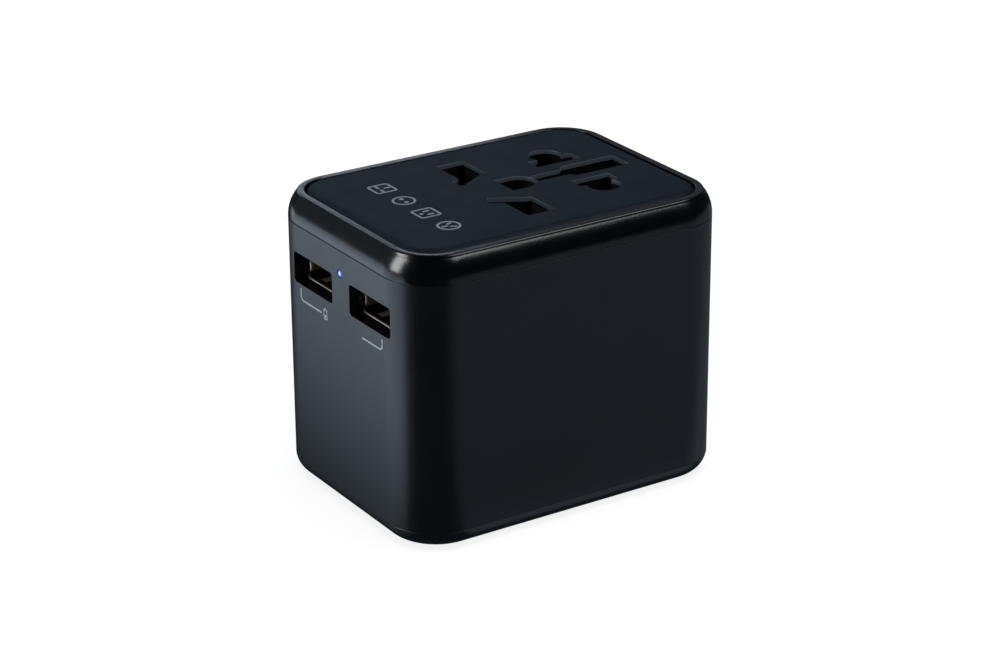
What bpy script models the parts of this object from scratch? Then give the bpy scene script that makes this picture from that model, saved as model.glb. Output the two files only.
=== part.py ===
"""Universal travel adapter: a cuboid shell with a world socket on top, two USB ports on one
short side, and three plugs that slide out of the bottom.

X runs along the long side, Y across it and Z up. The origin is the middle of the bottom.
"""

import math

import bmesh
import bpy
from mathutils import Matrix, Vector

MM = 0.001
GAP = 0.3 * MM

# Shell
LENGTH = 66.5 * MM
WIDTH = 50.0 * MM
CORNER_RADIUS = 9.95 * MM
WALL = 2.0 * MM
FOOT_RADIUS = 3.8 * MM
COVER_TOP = 3.4 * MM
COVER_FLOOR = 2.4 * MM
SPIGOT_TOP = 5.4 * MM
SLEEVE_BOTTOM = COVER_TOP + GAP
SLEEVE_TOP = 49.25 * MM
CAP_BOTTOM = SLEEVE_TOP + GAP
RIM_TOP = 54.2 * MM
SHOULDER_RADIUS = 6.8 * MM
RIM_INNER_INSET = 3.15 * MM
RIM_INNER_RADIUS = 6.5 * MM
SKIRT_BOTTOM = 46.5 * MM
SKIRT_INSET = 2.3 * MM
SKIRT_INNER_INSET = 3.5 * MM
LEDGE_INSET = 4.8 * MM
LEDGE_BOTTOM = 50.4 * MM
LEDGE_TOP = 51.9 * MM
PANEL_TOP = 54.5 * MM
PANEL_BOTTOM = LEDGE_TOP + GAP
PANEL_INSET = RIM_INNER_INSET + GAP
PANEL_EDGE_RADIUS = 1.3 * MM

# Screws that hold the bottom cover
SCREW_X = 25.9 * MM
SCREW_Y = 17.6 * MM
BOSS_RADIUS = 2.5 * MM
BOSS_TOP = 18.0 * MM
SCREW_HEAD_RADIUS = 2.0 * MM
SCREW_HEAD_HEIGHT = 1.3 * MM
SCREW_SHANK_RADIUS = 1.0 * MM
SCREW_LENGTH = 12.0 * MM
SCREW_SINK = 0.2 * MM
RECESS_HALF_LONG = 1.2 * MM
RECESS_HALF_THIN = 0.3 * MM
RECESS_DEPTH = 0.8 * MM
RIB_HALF = 0.8 * MM

# World socket in the top panel
UK_X = -1.15 * MM
UK_PITCH = 22.2 * MM
UK_HOLE_WIDTH = 5.55 * MM
UK_HOLE_OUTER = 15.1 * MM
UK_HOLE_INNER = 7.4 * MM
AU_CENTRE_X = -2.7 * MM
AU_CENTRE_Y = 6.86 * MM
AU_SLOT_LENGTH = 7.25 * MM
AU_SLOT_WIDTH = 2.6 * MM
AU_SLANT = math.radians(30)
EU_X = 15.87 * MM
EU_PITCH = 19.0 * MM
EU_HOLE_RADIUS = 3.02 * MM
US_SLOT_INNER = 4.8 * MM
US_SLOT_OUTER = 7.95 * MM
US_SLOT_LONG = (11.2 * MM, 20.4 * MM)
US_SLOT_SHORT = (11.9 * MM, 19.9 * MM)
US_GROUND_X = 4.0 * MM
US_GROUND_RADIUS = 3.15 * MM
US_GROUND_FLAT = 0.8 * MM
EARTH_START = 7.45 * MM
EARTH_STEP = 13.7 * MM
EARTH_WIDE = 14.9 * MM
EARTH_END = 26.0 * MM
EARTH_THIN_HALF = 1.45 * MM
EARTH_WIDE_HALF = 2.65 * MM

# Insulators and contacts under the socket
BLOCK_X = (-8.5 * MM, 28.0 * MM)
BLOCK_HALF_Y = 17.0 * MM
BLOCK_CORNER = 3.0 * MM
PANEL_SKIN = 0.8 * MM
GUIDE_BOTTOM = 43.0 * MM
GUIDE_TOP = PANEL_TOP - PANEL_SKIN - GAP
TRAY_BOTTOM = 33.4 * MM
TRAY_TOP = GUIDE_BOTTOM - GAP
TRAY_FLOOR = 1.6 * MM
TRAY_WALL = 1.6 * MM
CONTACT_BOTTOM = TRAY_BOTTOM + TRAY_FLOOR + GAP
CONTACT_TOP = TRAY_TOP - GAP
SHEET = 0.6 * MM
SPINE_Y = 14.5 * MM
LEAF_START_Y = 8.5 * MM
FAR_LEAF_X = 20.0 * MM
BLADE_LEAF_X = 12.6 * MM
BLADE_LEAF_YS = (5.0 * MM, 7.1 * MM, 11.5 * MM)

# Busbars: a flat link, and for each plug a rail at X that spans Y near to far
RAIL_BOTTOM = 9.0 * MM
LINK_Y = (8.3 * MM, 10.6 * MM)
LINK_Z = (32.3 * MM, 33.0 * MM)
RAILS = (
    (-8.4 * MM, 6.0 * MM, 9.0 * MM),
    (2.5 * MM, 9.0 * MM, 12.0 * MM),
    (14.2 * MM, 8.0 * MM, 11.0 * MM),
)

# Fuse and its clips
FUSE_X = -13.0 * MM
FUSE_Z = 42.5 * MM
FUSE_RADIUS = 2.5 * MM
FUSE_HALF = 10.0 * MM
CLIP_Y = 7.0 * MM
CLIP_HALF = 2.0 * MM

# Sliding plugs: X of each plug, its travel, and the carriers
US_PLUG_X = -13.0 * MM
UK_PLUG_X = -1.1 * MM
EU_PLUG_X = 10.0 * MM
EU_TRAVEL = 19.0 * MM
UK_TRAVEL = 22.5 * MM
US_TRAVEL = 17.0 * MM
CARRIER_LOW = 3.4 * MM
CARRIER_THICK = 5.0 * MM
CARRIER_FRONT = 20.2 * MM
HEAD_BACK = 17.5 * MM
HEAD_HEIGHT = 8.4 * MM
HEAD_HALF = 3.2 * MM
TAB_REACH = 2.0 * MM
PIN_TIP = 0.5 * MM
EU_BAR_HALF = 3.3 * MM
EU_BAR_BACK = 12.5 * MM
EU_TIP_ROUND = 1.2 * MM
EU_PIN_RADIUS = 2.0 * MM
UK_PIN_THICK = 4.0 * MM
UK_PIN_WIDE = 6.35 * MM
UK_EARTH_WIDE = 8.0 * MM
UK_EARTH_LEAD = 5.0 * MM
UK_TIP_CHAMFER = 0.9 * MM
UK_ARM_X = (16.5 * MM, 22.0 * MM)
UK_ARM_SIDE_Y = (-20.5 * MM, -15.5 * MM)
UK_ARM_END_HALF = 3.4 * MM
UK_ARM_END_REACH = 5.2 * MM
US_PITCH = 12.7 * MM
BLADE_WIDE = 6.35 * MM
BLADE_THICK = 1.6 * MM
BLADE_TIP_ROUND = 0.9 * MM
US_BAR_HALF = (4.2 * MM, 10.8 * MM)
US_WIPER_REACH = 2.5 * MM
US_WIPER_HALF = 1.2 * MM
TURRET_RADIUS = 3.4 * MM
TURRET_HEIGHT = 2.6 * MM
STUD_RADIUS = 2.2 * MM
PIN_PLAY = 0.4 * MM

# Tracks, knobs and lock buttons on the +Y side
TRACK_BACK = 20.6 * MM
TRACK_X = (-18.4 * MM, 15.4 * MM)
TRACK_Z = (5.8 * MM, 39.0 * MM)
CHANNEL_HALF = 4.4 * MM
CHANNEL_FLOOR = WIDTH / 2 - 1.7 * MM
SLOT_HALF = 2.0 * MM
STUB_Z = (2.5 * MM, 3.9 * MM)
KNOB_Z = (1.9 * MM, 10.4 * MM)
KNOB_HALF = 4.1 * MM
KNOB_BACK = CHANNEL_FLOOR + 0.2 * MM
KNOB_FRONT = WIDTH / 2 - 0.1 * MM
RIDGE_HEIGHTS = (2.6 * MM, 7.9 * MM, 8.9 * MM, 9.7 * MM)
RIDGE_HALF = 0.25 * MM
RIDGE_MARGIN = 0.9 * MM
RIDGE_PROUD = 0.5 * MM
BUTTON_Z = (4.4 * MM, 6.9 * MM)
BUTTON_HALF = 1.7 * MM
BUTTON_BACK = 20.9 * MM
BUTTON_FRONT = WIDTH / 2 - 0.2 * MM
POCKET_BACK = 18.2 * MM
SPRING_RADIUS = 0.85 * MM
SPRING_WIRE_RADIUS = 0.14 * MM
SPRING_TURNS = 4
SPRING_STEPS = 10

# USB charger
PORT_Z = 41.45 * MM
PORT_YS = (9.2 * MM, -10.2 * MM)
WINDOW_WIDTH = 13.4 * MM
WINDOW_HEIGHT = 5.6 * MM
WINDOW_RADIUS = 0.6 * MM
USB_SHELL_WIDTH = 13.3 * MM
USB_SHELL_HEIGHT = 5.9 * MM
USB_SHELL_SHEET = 0.35 * MM
USB_SHELL_X = (-31.0 * MM, -17.5 * MM)
TONGUE_FRONT = -28.9 * MM
LED_Y = -0.3 * MM
LED_Z = 45.2 * MM
LED_HOLE_RADIUS = 0.95 * MM
TONGUE_HALF = 5.6 * MM
TONGUE_Z = (0.2 * MM, 2.0 * MM)
TONGUE_BASE_HALF = (5.9 * MM, 2.1 * MM)
USB_BOARD_Z = (36.6 * MM, 38.2 * MM)
USB_BOARD_X = (-29.5 * MM, -9.6 * MM)
USB_BOARD_HALF = 17.5 * MM
POWER_BOARD_X = (-19.4 * MM, -17.9 * MM)
POWER_BOARD_HALF = 15.0 * MM
POWER_BOARD_Z = (7.0 * MM, 36.0 * MM)
CORE_X = (-28.0 * MM, -21.0 * MM)
CORE_HALF = 8.0 * MM
CORE_Z = (10.5 * MM, 26.5 * MM)
CORE_LEG = 2.5 * MM
WINDING_X = (-29.2 * MM, -19.8 * MM)
WINDING_PLAY = 0.4 * MM
CAPACITOR_X = -25.0 * MM
CAPACITOR_Z = 31.5 * MM
CAPACITORS = (
    ("input_capacitor", 3.8 * MM, -15.0 * MM, -1.0 * MM),
    ("output_capacitor", 3.2 * MM, 2.0 * MM, 13.0 * MM),
)
LED_CHIP_X = (-29.4 * MM, -28.8 * MM)
LED_CHIP_HALF = 0.8 * MM
LED_CHIP_HEIGHT = 1.6 * MM
PIPE_X = (-30.4 * MM, -28.8 * MM)

CORNER_STEPS = 9
FOOT_STEPS = 6
SHOULDER_STEPS = 7
EDGE_STEPS = 4
ROUND_STEPS = 24


def clear_scene():
    for obj in list(bpy.data.objects):
        bpy.data.objects.remove(obj, do_unlink=True)


def new_collection(name):
    collection = bpy.data.collections.new(name)
    bpy.context.scene.collection.children.link(collection)
    return collection


clear_scene()
PARTS = new_collection("travel_adapter")
CUTTERS = new_collection("cutters")
CUTTERS.hide_render = True


def material(name, colour, roughness, metallic=0.0):
    made = bpy.data.materials.new(name)
    made.use_nodes = True
    shader = made.node_tree.nodes["Principled BSDF"]
    shader.inputs["Base Color"].default_value = (*colour, 1.0)
    shader.inputs["Roughness"].default_value = roughness
    shader.inputs["Metallic"].default_value = metallic
    made.diffuse_color = (*colour, 1.0)
    return made


SATIN_SHELL = material("satin_shell", (0.022, 0.027, 0.034), 0.38)
GLOSS_CAP = material("gloss_cap", (0.015, 0.018, 0.023), 0.22)
MATTE_PANEL = material("matte_panel", (0.028, 0.034, 0.042), 0.45)
INNER_PLASTIC = material("inner_plastic", (0.03, 0.03, 0.032), 0.6)
CARRIER_PLASTIC = material("carrier_plastic", (0.05, 0.05, 0.055), 0.5)
KNOB_PLASTIC = material("knob_plastic", (0.02, 0.022, 0.026), 0.35)
BUTTON_PLASTIC = material("button_plastic", (0.25, 0.27, 0.3), 0.4)
BRASS = material("brass", (0.72, 0.53, 0.24), 0.25, 1.0)
NICKEL = material("nickel_plate", (0.72, 0.7, 0.66), 0.2, 1.0)
STEEL = material("steel", (0.6, 0.6, 0.62), 0.3, 1.0)
BOARD_GREEN = material("circuit_board", (0.02, 0.12, 0.05), 0.5)
FERRITE = material("ferrite", (0.06, 0.06, 0.065), 0.7)
TAPE = material("winding_tape", (0.75, 0.6, 0.12), 0.5)
CAN = material("capacitor_can", (0.05, 0.07, 0.16), 0.35)
CERAMIC = material("fuse_ceramic", (0.85, 0.84, 0.8), 0.35)
CLEAR = material("light_pipe_plastic", (0.35, 0.55, 0.95), 0.2)


# Shape helpers

def add_object(name, mesh, surface=None):
    obj = bpy.data.objects.new(name, mesh)
    if surface is None:
        CUTTERS.objects.link(obj)
        obj.hide_render = True
        obj.display_type = "WIRE"
    else:
        PARTS.objects.link(obj)
        mesh.materials.append(surface)
    return obj


def finish_mesh(name, bm):
    bmesh.ops.recalc_face_normals(bm, faces=bm.faces)
    mesh = bpy.data.meshes.new(name)
    bm.to_mesh(mesh)
    bm.free()
    return mesh


def box(name, x_range, y_range, z_range, surface=None, radius=0.0, axis=None):
    """A block between two corners, with the edges along axis rounded where radius is given."""
    low = Vector((x_range[0], y_range[0], z_range[0]))
    high = Vector((x_range[1], y_range[1], z_range[1]))
    bm = bmesh.new()
    bmesh.ops.create_cube(bm, size=1.0)
    bmesh.ops.scale(bm, vec=high - low, verts=bm.verts)
    bmesh.ops.translate(bm, vec=(high + low) / 2, verts=bm.verts)
    if radius:
        along = [
            edge for edge in bm.edges
            if abs((edge.verts[0].co - edge.verts[1].co).normalized()[axis]) > 0.9
        ]
        bmesh.ops.bevel(bm, geom=along, offset=radius, segments=4, profile=0.5, affect="EDGES")
    return add_object(name, finish_mesh(name, bm), surface)


def cylinder(name, radius, start, end, surface=None, steps=ROUND_STEPS, tip=0.0):
    """A round bar from start to end, with its start edge rounded by tip."""
    start = Vector(start)
    way = Vector(end) - start
    bm = bmesh.new()
    bmesh.ops.create_cone(
        bm, cap_ends=True, segments=steps, radius1=radius, radius2=radius, depth=way.length
    )
    if tip:
        rim = [e for e in bm.edges if all(v.co.z < 0 for v in e.verts)]
        bmesh.ops.bevel(bm, geom=rim, offset=tip, segments=3, profile=0.5, affect="EDGES")
    turn = way.to_track_quat("Z", "Y").to_matrix().to_4x4()
    bmesh.ops.transform(bm, matrix=Matrix.Translation(start + way / 2) @ turn, verts=bm.verts)
    return add_object(name, finish_mesh(name, bm), surface)


def prism(name, outline, z_range, surface=None):
    """A flat outline in X and Y, extruded between two heights."""
    bm = bmesh.new()
    face = bm.faces.new([bm.verts.new((x, y, z_range[0])) for x, y in outline])
    grown = bmesh.ops.extrude_face_region(bm, geom=[face])["geom"]
    tops = [item for item in grown if isinstance(item, bmesh.types.BMVert)]
    bmesh.ops.translate(bm, vec=(0, 0, z_range[1] - z_range[0]), verts=tops)
    return add_object(name, finish_mesh(name, bm), surface)


def shell_section(inset, z, radius=None):
    """One level of the shell: a rounded rectangle this far inside the outer faces."""
    radius = CORNER_RADIUS - inset if radius is None else radius
    half_x = LENGTH / 2 - inset - radius
    half_y = WIDTH / 2 - inset - radius
    points = []
    for quarter, (sx, sy) in enumerate(((1, 1), (-1, 1), (-1, -1), (1, -1))):
        for step in range(CORNER_STEPS + 1):
            turn = math.pi / 2 * (quarter + step / CORNER_STEPS)
            x = sx * half_x + radius * math.cos(turn)
            y = sy * half_y + radius * math.sin(turn)
            points.append((x, y, z))
    return points


def loft(name, sections, surface=None):
    """A closed body through a stack of sections with equal numbers of points."""
    bm = bmesh.new()
    rings = [[bm.verts.new(point) for point in section] for section in sections]
    for lower, upper in zip(rings, rings[1:]):
        for i in range(len(lower)):
            j = (i + 1) % len(lower)
            bm.faces.new((lower[i], lower[j], upper[j], upper[i]))
    bm.faces.new(rings[0])
    bm.faces.new(rings[-1])
    return add_object(name, finish_mesh(name, bm), surface)


def shell_block(name, inset, z_range, surface=None, radius=None):
    return loft(name, [shell_section(inset, z, radius) for z in z_range], surface)


def boolean(obj, other, operation):
    modifier = obj.modifiers.new(other.name, "BOOLEAN")
    modifier.operation = operation
    modifier.solver = "EXACT"
    modifier.object = other


def cut(obj, *cutters):
    for cutter in cutters:
        boolean(obj, cutter, "DIFFERENCE")


def join(obj, *others):
    for other in others:
        boolean(obj, other, "UNION")


def joined_boxes(name, boxes, surface):
    """One body from overlapping blocks, each given as its X, Y and Z ranges."""
    body = box(name, *boxes[0], surface)
    for number, ranges in enumerate(boxes[1:], 1):
        join(body, box(f"{name}_add_{number}", *ranges))
    return body


def around(centre, half):
    return (centre - half, centre + half)


def mirrored(y_range, side):
    return tuple(sorted(side * y for y in y_range))


def shade_round(obj, angle=30):
    obj.data.shade_smooth()
    obj.data.set_sharp_from_angle(angle=math.radians(angle))


def joint_empty(name, location):
    empty = bpy.data.objects.new(name, None)
    empty.empty_display_size = 0.01
    empty.location = location
    PARTS.objects.link(empty)
    return empty


def attach(obj, empty):
    """Moves the object's origin to the empty's and parents it there; cutters follow."""
    start = world_start(empty)
    members = [obj] + [m.object for m in obj.modifiers if m.type == "BOOLEAN"]
    for member in members:
        member.data.transform(Matrix.Translation(-start))
        member.parent = empty


def world_start(empty):
    start = Vector(empty.location)
    while empty.parent:
        empty = empty.parent
        start += empty.location
    return start


# Housing: the long sleeve between the bottom cover and the cap

def port_window(y):
    half_y = WINDOW_WIDTH / 2
    half_z = WINDOW_HEIGHT / 2
    return box(
        f"window_{round(y / MM)}",
        (-LENGTH / 2 - WALL, -LENGTH / 2 + 2 * WALL),
        around(y, half_y),
        around(PORT_Z, half_z),
        radius=WINDOW_RADIUS,
        axis=0,
    )


def screw_places():
    return [(sx * SCREW_X, sy * SCREW_Y) for sx in (-1, 1) for sy in (-1, 1)]


def add_bosses(housing):
    for number, (x, y) in enumerate(screw_places(), 1):
        boss = cylinder(
            f"boss_{number}", BOSS_RADIUS, (x, y, COVER_FLOOR + GAP), (x, y, BOSS_TOP), steps=16
        )
        towards_x = math.copysign(LENGTH / 2 - WALL / 2, x)
        rib = box(
            f"rib_{number}",
            sorted((x, towards_x)),
            around(y, RIB_HALF),
            (SPIGOT_TOP + GAP, BOSS_TOP),
        )
        join(housing, boss, rib)
    for number, (x, y) in enumerate(screw_places(), 1):
        bore = cylinder(
            f"boss_bore_{number}",
            SCREW_SHANK_RADIUS + GAP,
            (x, y, 0),
            (x, y, SCREW_LENGTH + 3 * MM),
            steps=12,
        )
        cut(housing, bore)


def cut_tracks(housing):
    """A shallow channel for each knob, with a slot through it for the knob's stub."""
    travels = ((US_PLUG_X, US_TRAVEL), (UK_PLUG_X, UK_TRAVEL), (EU_PLUG_X, EU_TRAVEL))
    for x, travel in travels:
        rest = CARRIER_LOW + travel
        tag = round(x / MM)
        channel = box(
            f"channel_{tag}",
            around(x, CHANNEL_HALF),
            (CHANNEL_FLOOR, WIDTH / 2 + WALL),
            (CARRIER_LOW + KNOB_Z[0] - GAP, rest + KNOB_Z[1] + GAP),
            radius=1.2 * MM,
            axis=1,
        )
        slot = box(
            f"slot_{tag}",
            around(x, SLOT_HALF),
            (TRACK_BACK - WALL, WIDTH / 2),
            (CARRIER_LOW + STUB_Z[0] - GAP, rest + BUTTON_Z[1] + GAP),
        )
        cut(housing, channel, slot)


def main_housing():
    housing = shell_block("main_housing", 0, (SLEEVE_BOTTOM, SLEEVE_TOP), SATIN_SHELL)
    cavity = shell_block("housing_cavity", WALL, (-WALL, SLEEVE_TOP + WALL))
    cut(housing, cavity)
    track = box("track_block", TRACK_X, (TRACK_BACK, WIDTH / 2 - WALL / 2), TRACK_Z)
    join(housing, track)
    add_bosses(housing)
    cut_tracks(housing)
    cut(housing, *[port_window(y) for y in PORT_YS])
    led_hole = cylinder(
        "led_hole",
        LED_HOLE_RADIUS,
        (-LENGTH / 2 - WALL, LED_Y, LED_Z),
        (-LENGTH / 2 + 2 * WALL, LED_Y, LED_Z),
        steps=16,
    )
    cut(housing, led_hole)
    shade_round(housing)


# Bottom cover: floor with the plug openings and the rounded foot

def plug_openings():
    eu = [
        cylinder(
            f"eu_opening_{side}",
            EU_PIN_RADIUS + PIN_PLAY,
            (EU_PLUG_X, side * EU_PITCH / 2, -WALL),
            (EU_PLUG_X, side * EU_PITCH / 2, 2 * COVER_TOP),
        )
        for side in (-1, 1)
    ]
    uk = [
        box(
            f"uk_opening_{side}",
            around(UK_PLUG_X, UK_PIN_THICK / 2 + PIN_PLAY),
            around(side * UK_PITCH / 2, UK_PIN_WIDE / 2 + PIN_PLAY),
            (-WALL, 2 * COVER_TOP),
        )
        for side in (-1, 1)
    ]
    earth = box(
        "uk_earth_opening",
        around(UK_PLUG_X + UK_PITCH, UK_EARTH_WIDE / 2 + PIN_PLAY),
        around(0, UK_PIN_THICK / 2 + PIN_PLAY),
        (-WALL, 2 * COVER_TOP),
    )
    us = [
        cylinder(
            f"us_opening_{side}",
            TURRET_RADIUS + PIN_PLAY,
            (US_PLUG_X, side * US_PITCH / 2, -WALL),
            (US_PLUG_X, side * US_PITCH / 2, 2 * COVER_TOP),
        )
        for side in (-1, 1)
    ]
    return [*eu, *uk, earth, *us]


def bottom_cover():
    foot = []
    for step in range(FOOT_STEPS + 1):
        turn = math.pi / 2 * step / FOOT_STEPS
        inset = FOOT_RADIUS * (1 - math.sin(turn))
        z = FOOT_RADIUS * (1 - math.cos(turn))
        if z < COVER_TOP:
            foot.append(shell_section(inset, z))
    top_drop = (FOOT_RADIUS - COVER_TOP) / FOOT_RADIUS
    top_inset = FOOT_RADIUS * (1 - math.sqrt(1 - top_drop ** 2))
    foot.append(shell_section(top_inset, COVER_TOP))
    cover = loft("bottom_cover", foot, SATIN_SHELL)
    spigot = shell_block("spigot", SKIRT_INSET, (COVER_FLOOR, SPIGOT_TOP))
    join(cover, spigot)
    cut(cover, shell_block("cover_pocket", SKIRT_INNER_INSET, (COVER_FLOOR, SPIGOT_TOP + WALL)))
    cut(cover, *plug_openings())
    for number, (x, y) in enumerate(screw_places(), 1):
        head = cylinder(
            f"counterbore_{number}",
            SCREW_HEAD_RADIUS + GAP,
            (x, y, -WALL),
            (x, y, SCREW_SINK + SCREW_HEAD_HEIGHT + GAP),
            steps=16,
        )
        bore = cylinder(
            f"cover_bore_{number}",
            SCREW_SHANK_RADIUS + GAP,
            (x, y, 0),
            (x, y, 2 * COVER_TOP),
            steps=12,
        )
        cut(cover, head, bore)
    shade_round(cover)


def housing_screw(number, x, y):
    """A pan-head screw, turned from its half profile, with a cross recess."""
    low = SCREW_SINK
    high = low + SCREW_HEAD_HEIGHT
    profile = [
        (0, low + SCREW_LENGTH),
        (SCREW_SHANK_RADIUS * 0.6, low + SCREW_LENGTH),
        (SCREW_SHANK_RADIUS, low + SCREW_LENGTH - MM),
        (SCREW_SHANK_RADIUS, high),
        (SCREW_HEAD_RADIUS, high),
        (SCREW_HEAD_RADIUS, low + 0.4 * MM),
        (SCREW_HEAD_RADIUS - 0.4 * MM, low),
        (0, low),
    ]
    bm = bmesh.new()
    verts = [bm.verts.new((radius, 0, z)) for radius, z in profile]
    for a, b in zip(verts, verts[1:]):
        bm.edges.new((a, b))
    mesh = bpy.data.meshes.new(f"housing_screw_{number}")
    bm.to_mesh(mesh)
    bm.free()
    screw = add_object(f"housing_screw_{number}", mesh, STEEL)
    screw.location = (x, y, 0)
    turn = screw.modifiers.new("turn", "SCREW")
    turn.steps = 16
    turn.render_steps = 16
    turn.use_merge_vertices = True
    turn.merge_threshold = 0.00001
    recesses = ((RECESS_HALF_LONG, RECESS_HALF_THIN), (RECESS_HALF_THIN, RECESS_HALF_LONG))
    for direction, (half_x, half_y) in enumerate(recesses):
        recess = box(
            f"recess_{number}_{direction}",
            around(x, half_x),
            around(y, half_y),
            (-MM, low + RECESS_DEPTH),
        )
        cut(screw, recess)


# Cap: the shoulder and the flat rim round the socket panel

def top_cap():
    shoulder = []
    rise = RIM_TOP - CAP_BOTTOM
    for step in range(SHOULDER_STEPS + 1):
        z = rise * step / SHOULDER_STEPS
        inset = SHOULDER_RADIUS - math.sqrt(SHOULDER_RADIUS ** 2 - z ** 2)
        shoulder.append(shell_section(inset, CAP_BOTTOM + z))
    cap = loft("top_cap", shoulder, GLOSS_CAP)
    join(cap, shell_block("skirt", SKIRT_INSET, (SKIRT_BOTTOM, CAP_BOTTOM + 0.5 * MM)))
    low_hollow = shell_block("cap_hollow", SKIRT_INNER_INSET, (SKIRT_BOTTOM - WALL, LEDGE_BOTTOM))
    window = shell_block("cap_window", LEDGE_INSET, (SKIRT_BOTTOM, PANEL_TOP))
    seat = shell_block("panel_seat", RIM_INNER_INSET, (LEDGE_TOP, PANEL_TOP + WALL),
                       radius=RIM_INNER_RADIUS)
    cut(cap, low_hollow, window, seat)
    shade_round(cap)


# Socket panel and everything that its holes lead to

def uk_hole(side, z_range, name):
    return box(
        name,
        around(UK_X, UK_HOLE_WIDTH / 2),
        mirrored((UK_HOLE_INNER, UK_HOLE_OUTER), side),
        z_range,
    )


def au_hole(side, z_range, name):
    half_length = AU_SLOT_LENGTH / 2
    half_width = AU_SLOT_WIDTH / 2
    along = Vector((math.cos(AU_SLANT), side * math.sin(AU_SLANT)))
    across = Vector((-along.y, along.x))
    centre = Vector((AU_CENTRE_X, side * AU_CENTRE_Y))
    corners = ((-1, -1), (1, -1), (1, 1), (-1, 1))
    outline = [centre + a * half_length * along + b * half_width * across for a, b in corners]
    return prism(name, outline, z_range)


def ground_hole(z_range, name):
    """The US earth hole: flat on one side, half round on the other."""
    steps = 14
    outline = [(US_GROUND_FLAT, US_GROUND_RADIUS), (US_GROUND_FLAT, -US_GROUND_RADIUS)]
    for step in range(steps + 1):
        turn = math.pi * step / steps - math.pi / 2
        x = US_GROUND_X + US_GROUND_RADIUS * math.cos(turn)
        outline.append((x, US_GROUND_RADIUS * math.sin(turn)))
    return prism(name, outline, z_range)


def earth_hole(z_range, name):
    half = [
        (EARTH_START, EARTH_THIN_HALF),
        (EARTH_STEP, EARTH_THIN_HALF),
        (EARTH_WIDE, EARTH_WIDE_HALF),
        (EARTH_END, EARTH_WIDE_HALF),
    ]
    return prism(name, half + [(x, -y) for x, y in reversed(half)], z_range)


def socket_holes(z_range, tag):
    holes = [ground_hole(z_range, f"{tag}_ground"), earth_hole(z_range, f"{tag}_earth")]
    for side, us_range in ((1, US_SLOT_LONG), (-1, US_SLOT_SHORT)):
        holes.append(uk_hole(side, z_range, f"{tag}_uk_{side}"))
        holes.append(au_hole(side, z_range, f"{tag}_au_{side}"))
        us_y = mirrored((US_SLOT_INNER, US_SLOT_OUTER), side)
        holes.append(box(f"{tag}_us_{side}", us_range, us_y, z_range))
        y = side * EU_PITCH / 2
        start = (EU_X, y, z_range[0])
        end = (EU_X, y, z_range[1])
        holes.append(cylinder(f"{tag}_eu_{side}", EU_HOLE_RADIUS, start, end))
    return holes


def socket_panel():
    radius = RIM_INNER_RADIUS - GAP
    sections = [shell_section(PANEL_INSET, PANEL_BOTTOM, radius)]
    for step in range(EDGE_STEPS + 1):
        turn = math.pi / 2 * step / EDGE_STEPS
        inset = PANEL_EDGE_RADIUS * (1 - math.cos(turn))
        z = PANEL_TOP - PANEL_EDGE_RADIUS * (1 - math.sin(turn))
        sections.append(shell_section(PANEL_INSET + inset, z, radius - inset))
    panel = loft("socket_panel", sections, MATTE_PANEL)
    pocket = box(
        "panel_pocket",
        (BLOCK_X[0] - GAP, BLOCK_X[1] + GAP),
        around(0, BLOCK_HALF_Y + GAP),
        (PANEL_BOTTOM - MM, PANEL_TOP - PANEL_SKIN),
        radius=BLOCK_CORNER,
        axis=2,
    )
    cut(panel, pocket, *socket_holes((PANEL_BOTTOM - MM, PANEL_TOP + MM), "panel"))
    shade_round(panel)


def socket_guide():
    guide = box(
        "socket_guide",
        BLOCK_X,
        around(0, BLOCK_HALF_Y),
        (GUIDE_BOTTOM, GUIDE_TOP),
        INNER_PLASTIC,
        radius=BLOCK_CORNER,
        axis=2,
    )
    cut(guide, *socket_holes((GUIDE_BOTTOM - MM, GUIDE_TOP + MM), "guide"))


def contact_tray():
    tray = box(
        "contact_tray",
        BLOCK_X,
        around(0, BLOCK_HALF_Y),
        (TRAY_BOTTOM, TRAY_TOP),
        INNER_PLASTIC,
        radius=BLOCK_CORNER,
        axis=2,
    )
    hollow = box(
        "tray_hollow",
        (BLOCK_X[0] + TRAY_WALL, BLOCK_X[1] - TRAY_WALL),
        around(0, BLOCK_HALF_Y - TRAY_WALL),
        (TRAY_BOTTOM + TRAY_FLOOR, TRAY_TOP + MM),
        radius=BLOCK_CORNER - TRAY_WALL,
        axis=2,
    )
    earth_way = box(
        "tray_earth_way",
        around(UK_X + UK_PITCH, UK_EARTH_WIDE / 2 + PIN_PLAY),
        around(0, EARTH_WIDE_HALF),
        (TRAY_BOTTOM - MM, TRAY_TOP),
    )
    cut(tray, hollow, earth_way)


def socket_contact(name, side):
    """Sheet brass with two leaves for a square pin and three for a blade or a round pin."""
    z_range = (CONTACT_BOTTOM, CONTACT_TOP)
    spine = (SPINE_Y, SPINE_Y + SHEET)
    far_x = FAR_LEAF_X
    grip = UK_PIN_THICK / 2
    boxes = [((UK_X - grip - SHEET, far_x + SHEET), mirrored(spine, side), z_range)]
    leaf_y = mirrored((LEAF_START_Y, spine[1]), side)
    for x in (UK_X - grip - SHEET, UK_X + grip):
        boxes.append(((x, x + SHEET), leaf_y, z_range))
    boxes.append(((far_x, far_x + SHEET), mirrored((BLADE_LEAF_YS[0], spine[1]), side), z_range))
    for y in BLADE_LEAF_YS:
        boxes.append(((BLADE_LEAF_X, far_x + SHEET), mirrored((y, y + SHEET), side), z_range))
    return joined_boxes(name, boxes, BRASS)


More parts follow.
